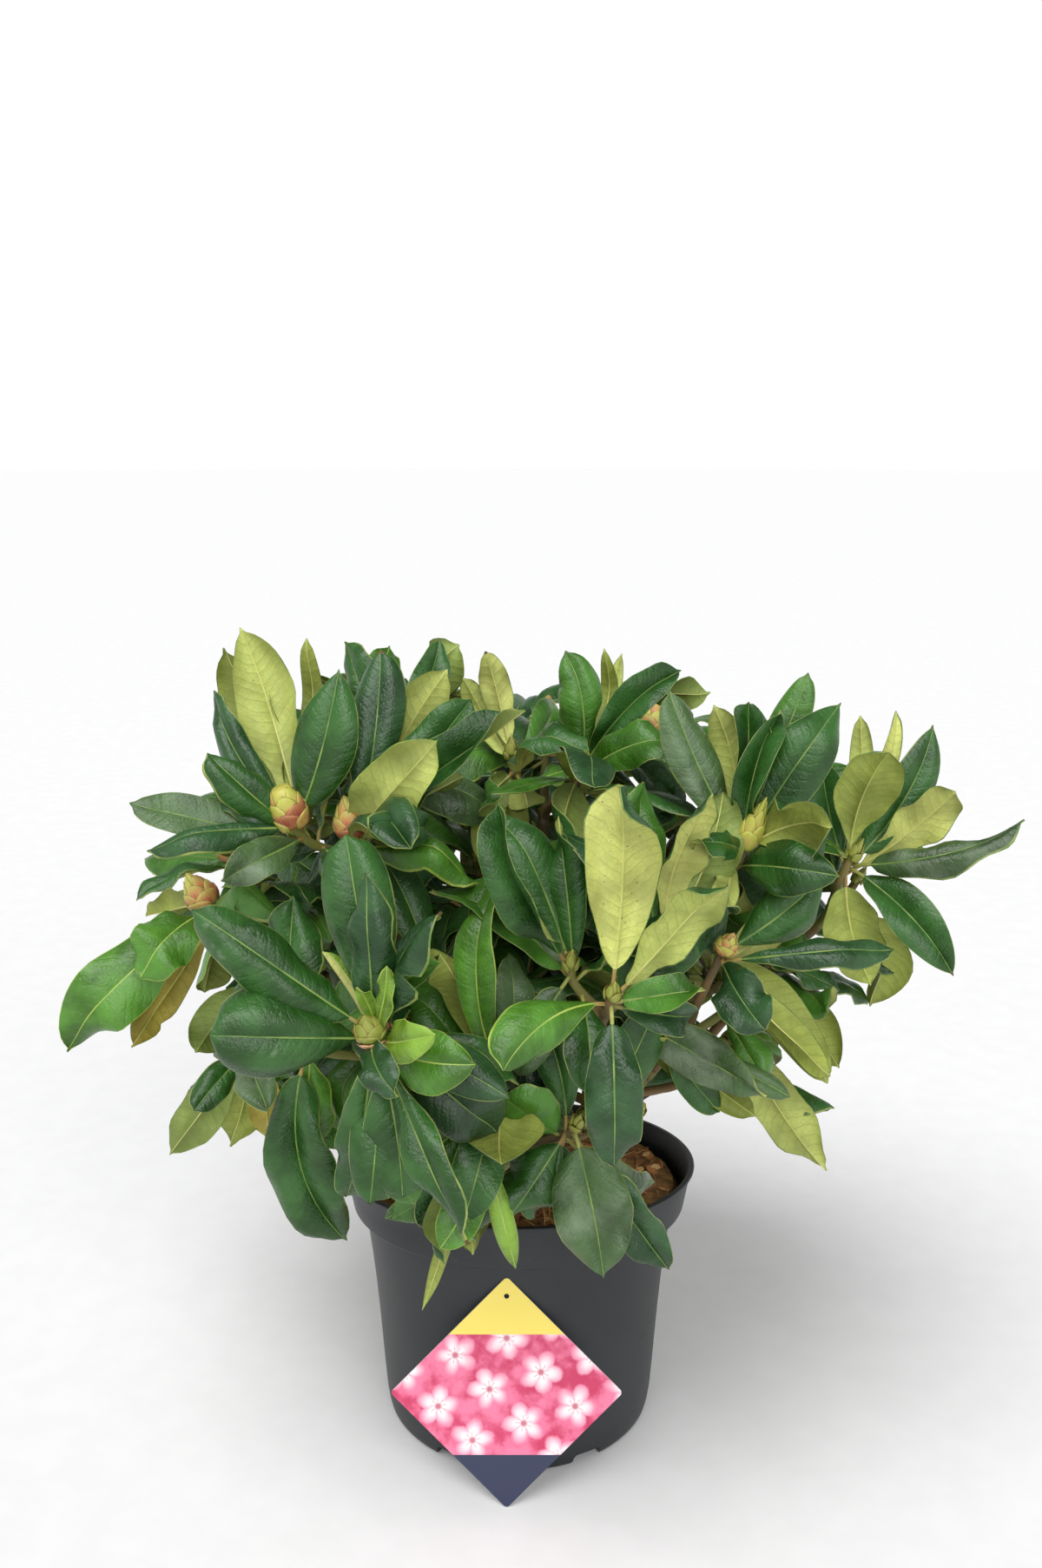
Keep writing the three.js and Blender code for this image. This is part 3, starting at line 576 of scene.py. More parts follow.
class Leaf:
    """Where a leaf stands: its foot, its rib's direction and length, and its upper side."""

    def __init__(self, shoot, rank, direction, length, width, upper, bend):
        tip = shoot.at + direction * length
        outward = across(direction, shoot.axis)
        self.base = foot_on(shoot.curve, FIRST_LEAF + LEAF_STEP * rank) + outward * TWIG_TIP * 0.25
        self.chord = np.linalg.norm(tip - self.base)
        self.midrib = (tip - self.base) / self.chord
        self.normal = across(upper, self.midrib)
        self.side = np.cross(self.midrib, self.normal)
        self.rise = self.chord * math.radians(bend) / 8
        self.width = width
        self.shoot = shoot
        self.hand_set = False
        self.words = ()
        self.obstacle = None

    @property
    def tip(self):
        return self.base + self.midrib * self.chord

    def section(self, t, half_width, swell):
        arch = self.normal * self.rise * 4 * t * (1 - t)
        centre = self.base + self.midrib * self.chord * t + arch
        lift = unit(self.normal - self.midrib * self.rise * 4 * (1 - 2 * t) / self.chord)
        half = LEAF_COARSE_THICKNESS / 2 + swell
        reach = half_width + swell
        return [centre - self.side * reach + lift * half, centre + self.side * reach + lift * half,
                centre - lift * half]

    def coarse(self, with_petiole, swell):
        """The leaf as a few faces, for trying whether it touches anything."""
        points = self.section(0, PETIOLE_WIDTH / 2, swell) if with_petiole else []
        points += self.section(PETIOLE_END, PETIOLE_WIDTH / 2, swell)
        for t, share in COARSE_STATIONS:
            points += self.section(t, share * self.width / 2, swell)
        rings = len(points) // 3
        faces = ring_faces(rings, 3)[:-1]
        last = 3 * (rings - 1)
        faces += [(last, last + 1, 3 * rings), (last + 1, last + 2, 3 * rings)]
        faces.append((last + 2, last, 3 * rings))
        points.append(self.base + self.midrib * (self.chord + swell))
        return np.array(points), faces

    def upper_spots(self):
        """Places spread over the upper side of the blade."""
        for t in (0.35, 0.5, 0.65, 0.8, 0.92):
            arch = self.normal * self.rise * 4 * t * (1 - t)
            for u in (-0.5, 0, 0.5):
                spot = self.base + self.midrib * self.chord * t + self.side * u * self.width / 2
                yield spot + arch


def foot_on(curve, distance):
    """The middle of a twig's few-sided solid, at a distance down from its end."""
    steps = (1 - distance / curve.length) * TWIG_STEPS
    below = math.floor(steps)
    start = curve.along(below / TWIG_STEPS)
    end = curve.along((below + 1) / TWIG_STEPS)
    return start + (end - start) * (steps - below)


def hand_set_leaf(shoot, entry, rank, swing, draw):
    clock, lean, length, width, roll, *words = entry
    turn = math.radians(clock + swing[0])
    tilt = math.radians(lean + swing[1])
    direction = np.array([math.sin(turn) * math.cos(tilt), -math.sin(tilt),
                          math.cos(turn) * math.cos(tilt)])
    upper = turned(across(FRONT, direction), direction, math.radians(roll))
    leaf = Leaf(shoot, rank, direction, length, width, upper, drawn(HAND_SET_BEND, draw))
    leaf.hand_set = True
    leaf.words = words
    return leaf


def whorl_leaf(shoot, number, swing, draw):
    """A leaf of the whorl: the lower ones are spread wider and hang more."""
    share = (number + 0.5) / max(FULL_WHORL, shoot.whorl)
    bearing = math.radians(shoot.phase + GOLDEN_ANGLE * number + 2 * swing[0])
    spread = WHORL_SPREAD + WHORL_WIDENING * share + WHORL_SPREAD_CHANCE * draw()
    spread = math.radians(spread + swing[1])
    around = turned(unit(np.cross(shoot.axis, FRONT)), shoot.axis, bearing)
    direction = shoot.axis * math.cos(spread) + around * math.sin(spread)
    direction = unit(direction - WHORL_HANG * share * UP)
    length = drawn(WHORL_LENGTH, draw)
    width = length * drawn(WHORL_SLIMNESS, draw)
    upper = turned(shoot.axis, direction, math.radians(drawn(WHORL_ROLL, draw)))
    rank = len(shoot.leaves) + number
    return Leaf(shoot, rank, direction, length, width, upper, drawn(WHORL_BEND, draw))


def in_crown(leaf, share=1.0, floor=CROWN_FLOOR):
    scaled = (leaf.tip - CROWN_CENTRE) / CROWN_REACH
    return np.linalg.norm(scaled) < share and leaf.tip[2] > floor


def is_inside(leaf):
    """True for a leaf that only fills the crown, well inside its outline."""
    return in_crown(leaf, INNER_SHARE, INNER_FLOOR)


# ------------------------------------------------------------------ what keeps a leaf clear


class Obstacle:
    """Something already placed, whole and as the part that its own mass keeps clear of."""

    def __init__(self, mass, whole, blade):
        self.mass = mass
        self.tree = tree_of(*whole)
        self.blade = blade and tree_of(*blade)
        self.low = whole[0].min(0)
        self.high = whole[0].max(0)


placed = []


def keep(mass, whole, blade=None, own_too=True):
    placed.append(Obstacle(mass, whole, blade or (own_too and whole)))


def keep_leaf(mass, leaf):
    keep(mass.name, leaf.coarse(True, 0), leaf.coarse(False, 0))
    leaf.obstacle = placed[-1]
    mass.leaves.append(leaf)


def is_clear(mass, leaf):
    whole = leaf.coarse(True, LEAF_SWELL)
    low, high = whole[0].min(0), whole[0].max(0)
    whole_tree = tree_of(*whole)
    blade_tree = tree_of(*leaf.coarse(False, 0))
    for other in placed:
        if (other.low > high).any() or (other.high < low).any():
            continue
        if other.mass != mass.name:
            if whole_tree.overlap(other.tree):
                return False
        elif other.blade and blade_tree.overlap(other.blade):
            return False
    return True


# Degrees by which a leaf is swung, round and out for a whorl, or by the clock and in its lean.
SWINGS = ((0, 0), (0, 7), (0, -7), (7, 0), (-7, 0), (0, 15), (0, -15), (14, 6), (-14, -6),
          (14, -14), (-14, 14), (0, 24), (0, -24))


def settle(mass, make, may_stand):
    """Tries a leaf as it is, then swung aside step by step, or leaves it out if none is clear."""
    for swing in SWINGS:
        leaf = make(swing)
        if may_stand(leaf) and is_clear(mass, leaf):
            keep_leaf(mass, leaf)
            return


# ------------------------------------------------------------------ boughs, stems and twigs


class Mass:
    """One mass of foliage: the curve of its bough, and its stem, shoots and leaves."""

    def __init__(self, name, parent, share, shoots, curves):
        self.name = name
        self.parent = parent
        self.share = share
        self.shoots = shoots
        self.side_shoots = []
        self.leaves = []
        self.fork = sum(shoot.at - SHOOT_LENGTH * shoot.axis for shoot in shoots) / len(shoots)
        root = curves[parent].along(share)
        self.inward = unit(unit(root - self.fork) - STEM_DROOP * UP)
        self.tip = self.fork + STEM_LENGTH * self.inward
        bend = self.tip + self.inward * BOUGH_END_RUN * np.linalg.norm(self.tip - root)
        self.curve = Curve(root, bend, self.tip)
        for shoot in shoots:
            self.join(shoot)

    def join(self, shoot):
        """A twig leaves the fork in line with the stem and ends in line with its shoot."""
        start = self.fork + 2 * self.inward
        span = np.linalg.norm(shoot.at - start)
        shoot.curve = Curve(start, start - self.inward * span * TWIG_START_RUN,
                            shoot.at - shoot.axis * span * TWIG_END_RUN, shoot.at)

    def every_shoot(self):
        return self.shoots + self.side_shoots


def coarse_limb(curve, start_radius, end_radius, sides, steps):
    radii = np.linspace(start_radius, end_radius, steps + 1)
    return tube(curve.track(steps), radii, sides)


def coarse_twig(curve):
    return coarse_limb(curve, TWIG_FORK, TWIG_TIP, 3, TWIG_STEPS)


def solid_of(node):
    """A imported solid's points in mm, and its faces."""
    mesh = frame["nodes"][node].data
    points = np.array([vertex.co for vertex in mesh.vertices]) / MM
    return points, [tuple(polygon.vertices) for polygon in mesh.polygons]


# What a shoot's seeds start from, for its whorl and for the leaves it gets at the end.
WHORL_SEED = 500
ADDED_SEED = 700


def grow():
    """Lays out the masses, then settles every leaf in the order that the solids took."""
    for node in ("pot", "compost", "label_card", "trunk"):
        keep(node, solid_of(node))
    curves = {"trunk": Curve(TRUNK_FOOT, TRUNK_BEND, TRUNK_TOP)}
    masses = []
    for name, parent, share, shoots in MASSES:
        mass = Mass(name, parent, share, shoots, curves)
        curves[name] = mass.curve
        masses.append(mass)
        keep(f"bough_{name}", solid_of(f"bough_{name}"))
        keep(name, coarse_limb(Curve(mass.tip, mass.fork), BOUGH_TIP, TWIG_FORK, 5, 1))
        for shoot in shoots:
            keep_twig(mass, shoot)
    bearing = [(mass, shoot) for mass in masses for shoot in mass.shoots]
    settle_hand_set(bearing)
    settle_whorls(bearing, 0, in_crown)
    settle_inner(bearing)
    extra = [(mass, shoot) for m, mass in enumerate(masses) for shoot in side_shoots(mass, m)]
    settle_whorls(extra, len(bearing), is_inside)
    thin_out(masses)
    for index, (mass, shoot) in enumerate(bearing):
        for number, entry in enumerate(shoot.more):
            draw = seeded(1000 * index + ADDED_SEED + number)
            add_leaf(mass, shoot, entry, shoot.whorl + number, draw)
    return masses, curves["trunk"]


def keep_twig(mass, shoot):
    keep(mass.name, coarse_twig(shoot.curve))
    if shoot.flower:
        foot = shoot.at - BUD_SUNK * shoot.axis
        track = np.array([foot, foot + 0.5 * BUD_LENGTH * shoot.axis,
                          foot + BUD_LENGTH * shoot.axis])
        keep(mass.name, tube(track, [0.6 * BUD_RADIUS, BUD_RADIUS, 0.5], 5), own_too=False)


def settle_hand_set(bearing):
    """The listed leaves. Those next to each other in the plan leave their twig well apart."""
    for index, (mass, shoot) in enumerate(bearing):
        for number, entry in enumerate(shoot.leaves):
            draw = seeded(1000 * index + number)
            rank = number % 3 * math.ceil(len(shoot.leaves) / 3) + number // 3
            settle(mass, lambda swing: hand_set_leaf(shoot, entry, rank, swing, draw),
                   lambda leaf: True)


def settle_whorls(bearing, first, may_stand):
    for index, (mass, shoot) in enumerate(bearing, first):
        shoot.phase = WHORL_TURN * index
        settle_whorl(mass, shoot, index, range(shoot.whorl), may_stand)


def settle_inner(bearing):
    """A few more leaves on each shoot, where there is still room for them."""
    for index, (mass, shoot) in enumerate(bearing):
        numbers = range(shoot.whorl, shoot.whorl + INNER_LEAVES)
        settle_whorl(mass, shoot, index, numbers, is_inside)


def settle_whorl(mass, shoot, index, numbers, may_stand):
    for number in numbers:
        draw = seeded(1000 * index + WHORL_SEED + number)
        settle(mass, lambda swing: whorl_leaf(shoot, number, swing, draw), may_stand)


def side_shoots(mass, m):
    """Short shoots off the bough itself, which fill the inside of the crown."""
    for k in range(SIDE_SHOOTS):
        share = SIDE_SHOOT_FROM + SIDE_SHOOT_SPAN * k / (SIDE_SHOOTS - 1)
        root = mass.curve.along(share)
        way = unit(mass.curve.along(share + 0.02) - root)
        out = turned(across(UP, way), way, math.radians(GOLDEN_ANGLE * k + 61 * m))
        shoot = Shoot(root + SIDE_SHOOT_LENGTH * unit(out + 0.45 * way + 0.3 * UP), SIDE_WHORL)
        run = SIDE_SHOOT_RUN * SIDE_SHOOT_LENGTH
        shoot.curve = Curve(root, root + run * unit(out + way), shoot.at - run * shoot.axis,
                            shoot.at)
        twig = coarse_twig(shoot.curve)
        if shoot.at[2] >= SIDE_SHOOT_FLOOR and not touches_others(mass, twig):
            keep(mass.name, twig)
            mass.side_shoots.append(shoot)
    return mass.side_shoots


def touches_others(mass, twig):
    tree = tree_of(*twig)
    own = (mass.name, f"bough_{mass.name}")
    return any(other.mass not in own and tree.overlap(other.tree) for other in placed)


NUDGES = [(0, 0)] + [(clock, lean) for lean in (0, 6, -6, 12) for clock in (0, 5, -5, 10, -10)]


def add_leaf(mass, shoot, entry, rank, draw):
    """Sets one more leaf with its blade clear of the rest, or as planned if no nudge helps."""
    for nudge in NUDGES + [(0, 0)]:
        leaf = hand_set_leaf(shoot, entry, rank, nudge, draw)
        blade = tree_of(*leaf.coarse(False, 0))
        if not any(other.blade and blade.overlap(other.blade) for other in placed):
            break
    keep_leaf(mass, leaf)


# ------------------------------------------------------------------ thinning by eye


class Sight:
    """Tells which of some leaves a line to the eye passes through."""

    STEP_ON = 0.01

    def __init__(self, leaves):
        self.leaves = leaves
        points, faces, self.owners = [], [], []
        for leaf in leaves:
            own_points, own_faces = leaf.coarse(True, 0)
            faces += [tuple(len(points) + i for i in face) for face in own_faces]
            points += own_points.tolist()
            self.owners += [leaf] * len(own_faces)
        self.tree = BVHTree.FromPolygons(points, faces)

    def crossed(self, spot):
        crossed = set()
        way = Vector(unit(EYE - spot))
        spot = Vector(spot)
        while True:
            hit, _, face, _ = self.tree.ray_cast(spot, way)
            if hit is None:
                return crossed
            crossed.add(self.owners[face])
            spot = hit + self.STEP_ON * way


BEHIND_SHRUB = 1.7  # of the way from the eye to the shrub's middle
LEAF_LIFT = 4
FEW_SPOTS = 2


def thin_out(masses):
    """Cuts away the whorl leaves that stand before a listed one, or across an open spot."""
    leaves = [leaf for mass in masses for leaf in mass.leaves]
    loose = Sight([leaf for leaf in leaves if not leaf.hand_set])
    hand_set = Sight([leaf for leaf in leaves if leaf.hand_set])
    cut = {leaf for leaf in leaves if "left_out" in leaf.words}
    for x, z in OPEN_SPOTS:
        way = np.array([x, 0, z]) - EYE
        cut.update(loose.crossed(EYE + BEHIND_SHRUB * way))
    for leaf in hand_set.leaves:
        hidden = Counter()
        for spot in leaf.upper_spots():
            spot = spot + LEAF_LIFT * unit(EYE - spot)
            if not hand_set.crossed(spot):
                hidden.update(loose.crossed(spot))
        cut.update(other for other, count in hidden.items() if count > FEW_SPOTS)
    gone = [leaf.obstacle for leaf in cut]
    placed[:] = [obstacle for obstacle in placed if obstacle not in gone]
    for mass in masses:
        mass.leaves = [leaf for leaf in mass.leaves if leaf not in cut]
        bearing = [leaf.shoot for leaf in mass.leaves]
        mass.side_shoots = [shoot for shoot in mass.side_shoots if shoot in bearing]


# ------------------------------------------------------------------ meshes

MAP = "Place"


def added(name, data):
    """A new object in the scene, which shows a mesh, a lamp or the camera."""
    thing = bpy.data.objects.new(name, data)
    bpy.context.scene.collection.objects.link(thing)
    return thing


class Build:
    """Points, faces and finishes of one piece, gathered part by part and made into one mesh."""

    def __init__(self, name):
        self.name = name
        self.points = []
        self.faces = []
        self.marks = []
        self.spots = []
        self.finishes = []
        self.count = 0

    def add(self, points, faces, finish, spots=None):
        """The finish is a material, or one material for each face. The spots are map places."""
        self.points.append(points)
        self.faces += [tuple(self.count + i for i in face) for face in faces]
        finishes = finish if isinstance(finish, list) else [finish] * len(faces)
        for one in finishes:
            if one not in self.finishes:
                self.finishes.append(one)
            self.marks.append(self.finishes.index(one))
        self.spots.append(np.zeros((len(points), 2)) if spots is None else spots)
        self.count += len(points)

    def mesh(self, smooth_shaded=True):
        mesh = bpy.data.meshes.new(self.name)
        mesh.from_pydata(np.concatenate(self.points) * MM, [], self.faces)
        mesh.polygons.foreach_set("material_index", self.marks)
        mesh.polygons.foreach_set("use_smooth", [smooth_shaded] * len(self.faces))
        corners = np.empty(len(mesh.loops), int)
        mesh.loops.foreach_get("vertex_index", corners)
        spots = np.concatenate(self.spots)[corners]
        mesh.uv_layers.new(name=MAP).data.foreach_set("uv", spots.ravel())
        for finish in self.finishes:
            mesh.materials.append(finish)
        mesh.validate()
        return mesh

    def piece(self, slot, replaced=(), smooth_shaded=True):
        piece = added(self.name, self.mesh(smooth_shaded))
        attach(piece, "root")
        if replaced:
            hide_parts(*replaced)
        return piece


def apply_modifiers(piece):
    """Puts the result of the piece's modifiers in its mesh."""
    graph = bpy.context.evaluated_depsgraph_get()
    mesh = bpy.data.meshes.new_from_object(piece.evaluated_get(graph))
    piece.modifiers.clear()
    piece.data = mesh


# ------------------------------------------------------------------ the fine leaf

BLADE_STATIONS = 21
PETIOLE_STATIONS = 3
POINT_FROM = 0.975
RIM = 0.5
LEAF_THICKNESS = 0.55
RIB_HEIGHT = 1.3
PETIOLE_RADIUS = 1.35
WAVY_WIDTH = 36
GROOVE_DEPTH = 0.5
GROOVE_WIDTH = 1.3
BITE_CHANCE = 0.07
BITE_DEPTH = 0.34
BITE_LENGTH = 0.032
BROWN_TIP_FROM = 0.955
BROWN_TIP_CHANCE = 0.03

# Millimetres of leaf, along it and across it, for one unit of its map.
MAP_LENGTH = 100
MAP_WIDTH = 200


class Habit:
    """How one leaf differs from the next: its outline, fold, waves, twist and curl."""

    def __init__(self, draw):
        self.fullest = 0.92 + 0.42 * draw()
        self.wedge = 0.5 + 0.3 * draw()
        self.bluntness = 0.36 + 0.34 * draw()
        self.groove = 0.1 + 0.4 * draw()
        self.fold = 0.62 * draw() ** 1.6
        self.arch = 0.5 * draw() - 0.06
        self.recurve = 0.5 * draw() ** 1.5
        self.bow = 1 + 1.1 * draw()
        self.lopsided = 0.7 * draw() - 0.35
        self.wave = 0.6 + 4.6 * draw() ** 1.5
        self.waves = 1.2 + 2.2 * draw()
        self.left_phase = 6.28 * draw()
        self.right_phase = 6.28 * draw()
        self.twist = math.radians(64 * draw() - 32 + 80 * (2 * draw() - 1) ** 5)
        self.tip_turn = math.radians(110 * (2 * draw() - 1) ** 3)
        self.sweep = 0.14 * draw() - 0.07
        self.curl = 0.22 * draw() ** 1.4 - 0.04
        self.sway = 0.05 * draw() - 0.025
        self.top_draw = draw()
        self.under_draw = draw()
        self.tip_draw = draw()
        self.bite_draw = draw()
        self.bite_at = 0.35 + 0.5 * draw()
        self.roll = 0.0
        self.start = 0.0
        self.length = 1.0
        self.girth = 1.0

    def shaped(self, words):
        for word in words:
            vars(self).update(FORMS.get(word, {}))
        return self


# What a word in the plan changes in a leaf's habit.
FORMS = {
    "long": {"length": 1.13},
    "short": {"length": 0.86},
    "slim": {"girth": 0.8},
    "broad": {"girth": 1.18},
    "hooked": {"curl": 0.36},
    "folded": {"fold": 0.95, "arch": 0.0, "recurve": 0.1},
    "flat": {"fold": 0.05, "wave": 1.4, "twist": 0.0, "tip_turn": 0.0, "bite_draw": 1.0},
    "sagging": {"bow": -1.3},
    "seated": {"start": -0.14},
    "leaning_left": {"roll": -0.42},
    "swept_right": {"sweep": 0.13},
    "pointed": {"bluntness": 0.78, "fullest": 0.95},
    "even": {"wedge": 0.42, "fullest": 1.05},
    "drawn_in": {"start": -0.3},
    "upright": {"curl": 0.0, "sweep": 0.0},
    "rolled": {"arch": 0.5, "recurve": 0.55},
    "wavy": {"wave": 5.6, "waves": 2.5},
    "turned_left": {"tip_turn": -1.4},
    "turned_right": {"tip_turn": 1.4},
    "blunt": {"bluntness": 0.3, "fullest": 1.35},
    "bitten": {"bite_draw": 0.0, "bite_at": 0.78},
}


def blade_shares():
    """Stations along the blade, closer together at its two ends."""
    even = np.linspace(0, 1, BLADE_STATIONS)
    return even - 0.075 * np.sin(2 * math.pi * even)


def half_width(leaf, habit, s):
    share = np.clip(s / POINT_FROM, 0, 1) ** habit.fullest
    taper = habit.wedge + (habit.bluntness - habit.wedge) * smooth(s, 0.3, 0.7)
    blade = habit.girth * leaf.width / 2 * np.clip(np.sin(math.pi * share), 0, 1) ** taper
    point = 0.9 * smooth(s, 0.5, 0.9) * (1 - 0.7 * smooth(s, POINT_FROM, 1))
    return blade + point + PETIOLE_RADIUS * (1 - smooth(s, 0, 0.22))


def leaf_points(leaf, habit):
    """The rings of a leaf from its foot to its tip, their map places, and their shares of the
    blade's length, which are below 0 on the petiole."""
    petiole = np.linspace(0, 0.82, PETIOLE_STATIONS) * PETIOLE_END
    s = np.concatenate([petiole / PETIOLE_END - 1, blade_shares()])
    t = np.concatenate([petiole, PETIOLE_END + (1 - PETIOLE_END) * blade_shares()])
    x, z = ring_sections(leaf, habit, s)
    centre = rib_line(leaf, habit, t)
    side, lift = ring_directions(leaf, habit, t, centre)
    points = centre[:, None] + x[..., None] * side[:, None] + z[..., None] * lift[:, None]
    along = np.broadcast_to((np.clip(s, 0, 1) * leaf.chord / MAP_LENGTH)[:, None], x.shape)
    spots = np.stack([along, 0.5 + x / MAP_WIDTH], axis=-1)
    return points.reshape(-1, 3), spots.reshape(-1, 2), s


def ring_sections(leaf, habit, s):
    """How far each ring's points lie beside the rib line and over it, round both sides."""
    blade = np.clip(s, 0, 1)
    wide = np.where(s < 0, PETIOLE_RADIUS, half_width(leaf, habit, blade))
    rib = np.clip((0.75 - 0.5 * blade) / wide, 0.012, 0.3)
    u = shares_across(habit, blade, wide, rib)
    x, top = upper_side(leaf, habit, blade, wide, u)
    thick = LEAF_THICKNESS * (1 - 0.35 * abs(u) ** 4)
    rib_depth = RIB_HEIGHT * (1 - 0.8 * blade[:, None])
    low = top - thick - rib_depth * (abs(u) < 0.5 * rib[:, None])
    stalk = PETIOLE_RADIUS * np.sqrt(np.clip(1 - u ** 2, 0, 1))
    to_blade = smooth(s, -0.15, 0.12)[:, None]
    top = stalk * (1 - to_blade) + top * to_blade
    low = -stalk * (1 - to_blade) + low * to_blade
    return np.concatenate([x, x[:, ::-1]], axis=1), np.concatenate([top, low[:, ::-1]], axis=1)


def shares_across(habit, blade, wide, rib):
    """Each ring's points as shares of its half width, with some close to the rims and the rib."""
    rim = np.clip(RIM / wide, 0.02, 0.22)
    one = np.ones_like(wide)
    steps = [-one, rim - 1, -0.66 * one, -0.34 * one, -rib, 0 * one]
    steps += [-step for step in reversed(steps[:-1])]
    u = np.array(steps).T
    if habit.bite_draw < BITE_CHANCE:
        dent = BITE_DEPTH * np.exp(-(((blade - habit.bite_at) / BITE_LENGTH) ** 2))
        u = np.where(u > 0, u * (1 - dent[:, None]), u)
    return u


def upper_side(leaf, habit, blade, wide, u):
    """The upper side's fold, arch, waves and the groove over its rib."""
    phase = np.where(u < 0, habit.left_phase, habit.right_phase)
    wave = np.sin(2 * math.pi * habit.waves * blade[:, None] + phase)
    fade = smooth(blade, 0, 0.2)[:, None] * (1 - 0.6 * smooth(blade, 0.85, 1))[:, None]
    size = min(1, leaf.width / WAVY_WIDTH)
    lean = 1 + habit.lopsided * np.sign(u)
    z = habit.groove * abs(u) * (1 - abs(u)) - habit.arch * lean * u ** 2
    z = wide[:, None] * (z - habit.recurve * lean * abs(u) ** 5)
    fold = habit.fold * smooth(blade, 0, 0.25)[:, None]
    z += habit.wave * size * u ** 2 * wave * fade + fold * wide[:, None] * abs(u)
    x = u * wide[:, None] / np.sqrt(1 + fold ** 2)
    return x, z - GROOVE_DEPTH * fade * np.exp(-((x / GROOVE_WIDTH) ** 2))


def rib_line(leaf, habit, t):
    """The middle of each ring, on a line that bows, sweeps aside and curls at the tip."""
    bow = 4 * t * (1 - t)
    chord = leaf.chord * habit.length
    curl = habit.curl * smooth(t, 0.6, 1) ** 1.5 * chord
    start = habit.start * chord * smooth(t, 0, 0.2)
    centre = leaf.base + np.outer(t * chord - 0.5 * abs(curl) + start, leaf.midrib)
    sway = habit.sway * chord * np.sin(2 * math.pi * t) * t
    centre = centre + np.outer(leaf.rise * habit.bow * bow - curl + sway, leaf.normal)
    return centre + np.outer(habit.sweep * leaf.chord * bow, leaf.side)


def ring_directions(leaf, habit, t, centre):
    """The ways across each ring and up from it, which twist along the leaf."""
    tangent = np.gradient(centre, axis=0)
    tangent /= np.linalg.norm(tangent, axis=1, keepdims=True)
    turn = habit.twist * (smooth(t, 0.1, 1) - 0.45) + habit.tip_turn * smooth(t, 0.62, 1)
    turn += habit.roll * smooth(t, 0, 0.15)
    side = np.cos(turn)[:, None] * leaf.side + np.sin(turn)[:, None] * leaf.normal
    side -= (side * tangent).sum(1, keepdims=True) * tangent
    side /= np.linalg.norm(side, axis=1, keepdims=True)
    return side, np.cross(side, tangent)


TOP_STRIPS = ("rim", "top", "top", "top", "rib", "rib", "top", "top", "top", "rim")
UNDER_STRIPS = ("rim", "under", "under", "under", "rib_under", "rib_under", "under", "under",
                "under", "rim")
STRIPS = TOP_STRIPS + ("rim",) + UNDER_STRIPS + ("rim",)
RING = len(STRIPS)
LEAF_FACES = [
    # The lower strips are split into triangles along the same diagonals as the upper ones.
    face[1:] + face[:1] if len(face) == 4 and n % RING >= RING / 2 else face
    for n, face in enumerate(ring_faces(BLADE_STATIONS + PETIOLE_STATIONS, RING))
]


def leaf_finishes(leaf, habit, shares, palette):
    """The finish of each face of a leaf, strip by strip along its rings, and of its two ends."""
    top, under = palette.choose(leaf, habit)
    petiole = palette.petiole(habit)
    own = {"top": palette.finishes[top], "under": palette.finishes[under],
           "rim": palette.rim(top), "rib": palette.rib(top),
           "rib_under": palette.finishes["rib_under"]}
    marks = []
    for share in shares[:-1]:
        if share < -0.01:
            marks += [petiole] * RING
        elif share > BROWN_TIP_FROM and habit.tip_draw < BROWN_TIP_CHANCE:
            marks += [palette.finishes["brown_tip"]] * RING
        else:
            marks += [own[strip] for strip in STRIPS]
    return marks + [petiole, own["rim"]]


# ------------------------------------------------------------------ shader helpers


def tone(red, green, blue):
    """A colour given as it looks on a screen, 0 to 255, as the shader's linear colour."""
    shares = [c / 255 for c in (red, green, blue)]
    return (*[c / 12.92 if c < 0.04045 else ((c + 0.055) / 1.055) ** 2.4 for c in shares], 1)


def shaded(colour, share, lift=0.0):
    """A colour made darker or lighter by a share of itself, and then lifted."""
    return (*[min(1, c * share + lift) for c in colour[:3]], 1)


class Wire:
    """A socket that a node gives out. Sums on wires add the Math nodes that work them out."""

    def __init__(self, finish, socket):
        self.finish = finish
        self.socket = socket

    def math(self, operation, *values):
        return self.finish.node("ShaderNodeMath", {"operation": operation},
                                dict(enumerate(values)))

    def __add__(self, other):
        return self.math("ADD", self, other)

    def __radd__(self, other):
        return self.math("ADD", other, self)

    def __sub__(self, other):
        return self.math("SUBTRACT", self, other)

    def __rsub__(self, other):
        return self.math("SUBTRACT", other, self)

    def __mul__(self, other):
        return self.math("MULTIPLY", self, other)

    def __rmul__(self, other):
        return self.math("MULTIPLY", other, self)

    def __truediv__(self, other):
        return self.math("DIVIDE", self, other)

    def __rtruediv__(self, other):
        return self.math("DIVIDE", other, self)

    def __abs__(self):
        return self.math("ABSOLUTE", self)

    def fraction(self):
        return self.math("FRACT", self)

    def floor(self):
        return self.math("FLOOR", self)

    def root(self):
        return self.math("SQRT", self)

    def wave(self):
        return self.math("SINE", self)

    def angle_to(self, across):
        """The angle of a place that lies this far up and so far across."""
        return self.math("ARCTAN2", self, across)

    def rising(self, low, high):
        """0 below low and 1 above high, eased between them."""
        return self.finish.node("ShaderNodeMapRange", {"interpolation_type": "SMOOTHSTEP"},
                                {"Value": self, "From Min": low, "From Max": high})

    def out(self, name):
        return Wire(self.finish, self.socket.node.outputs[name])


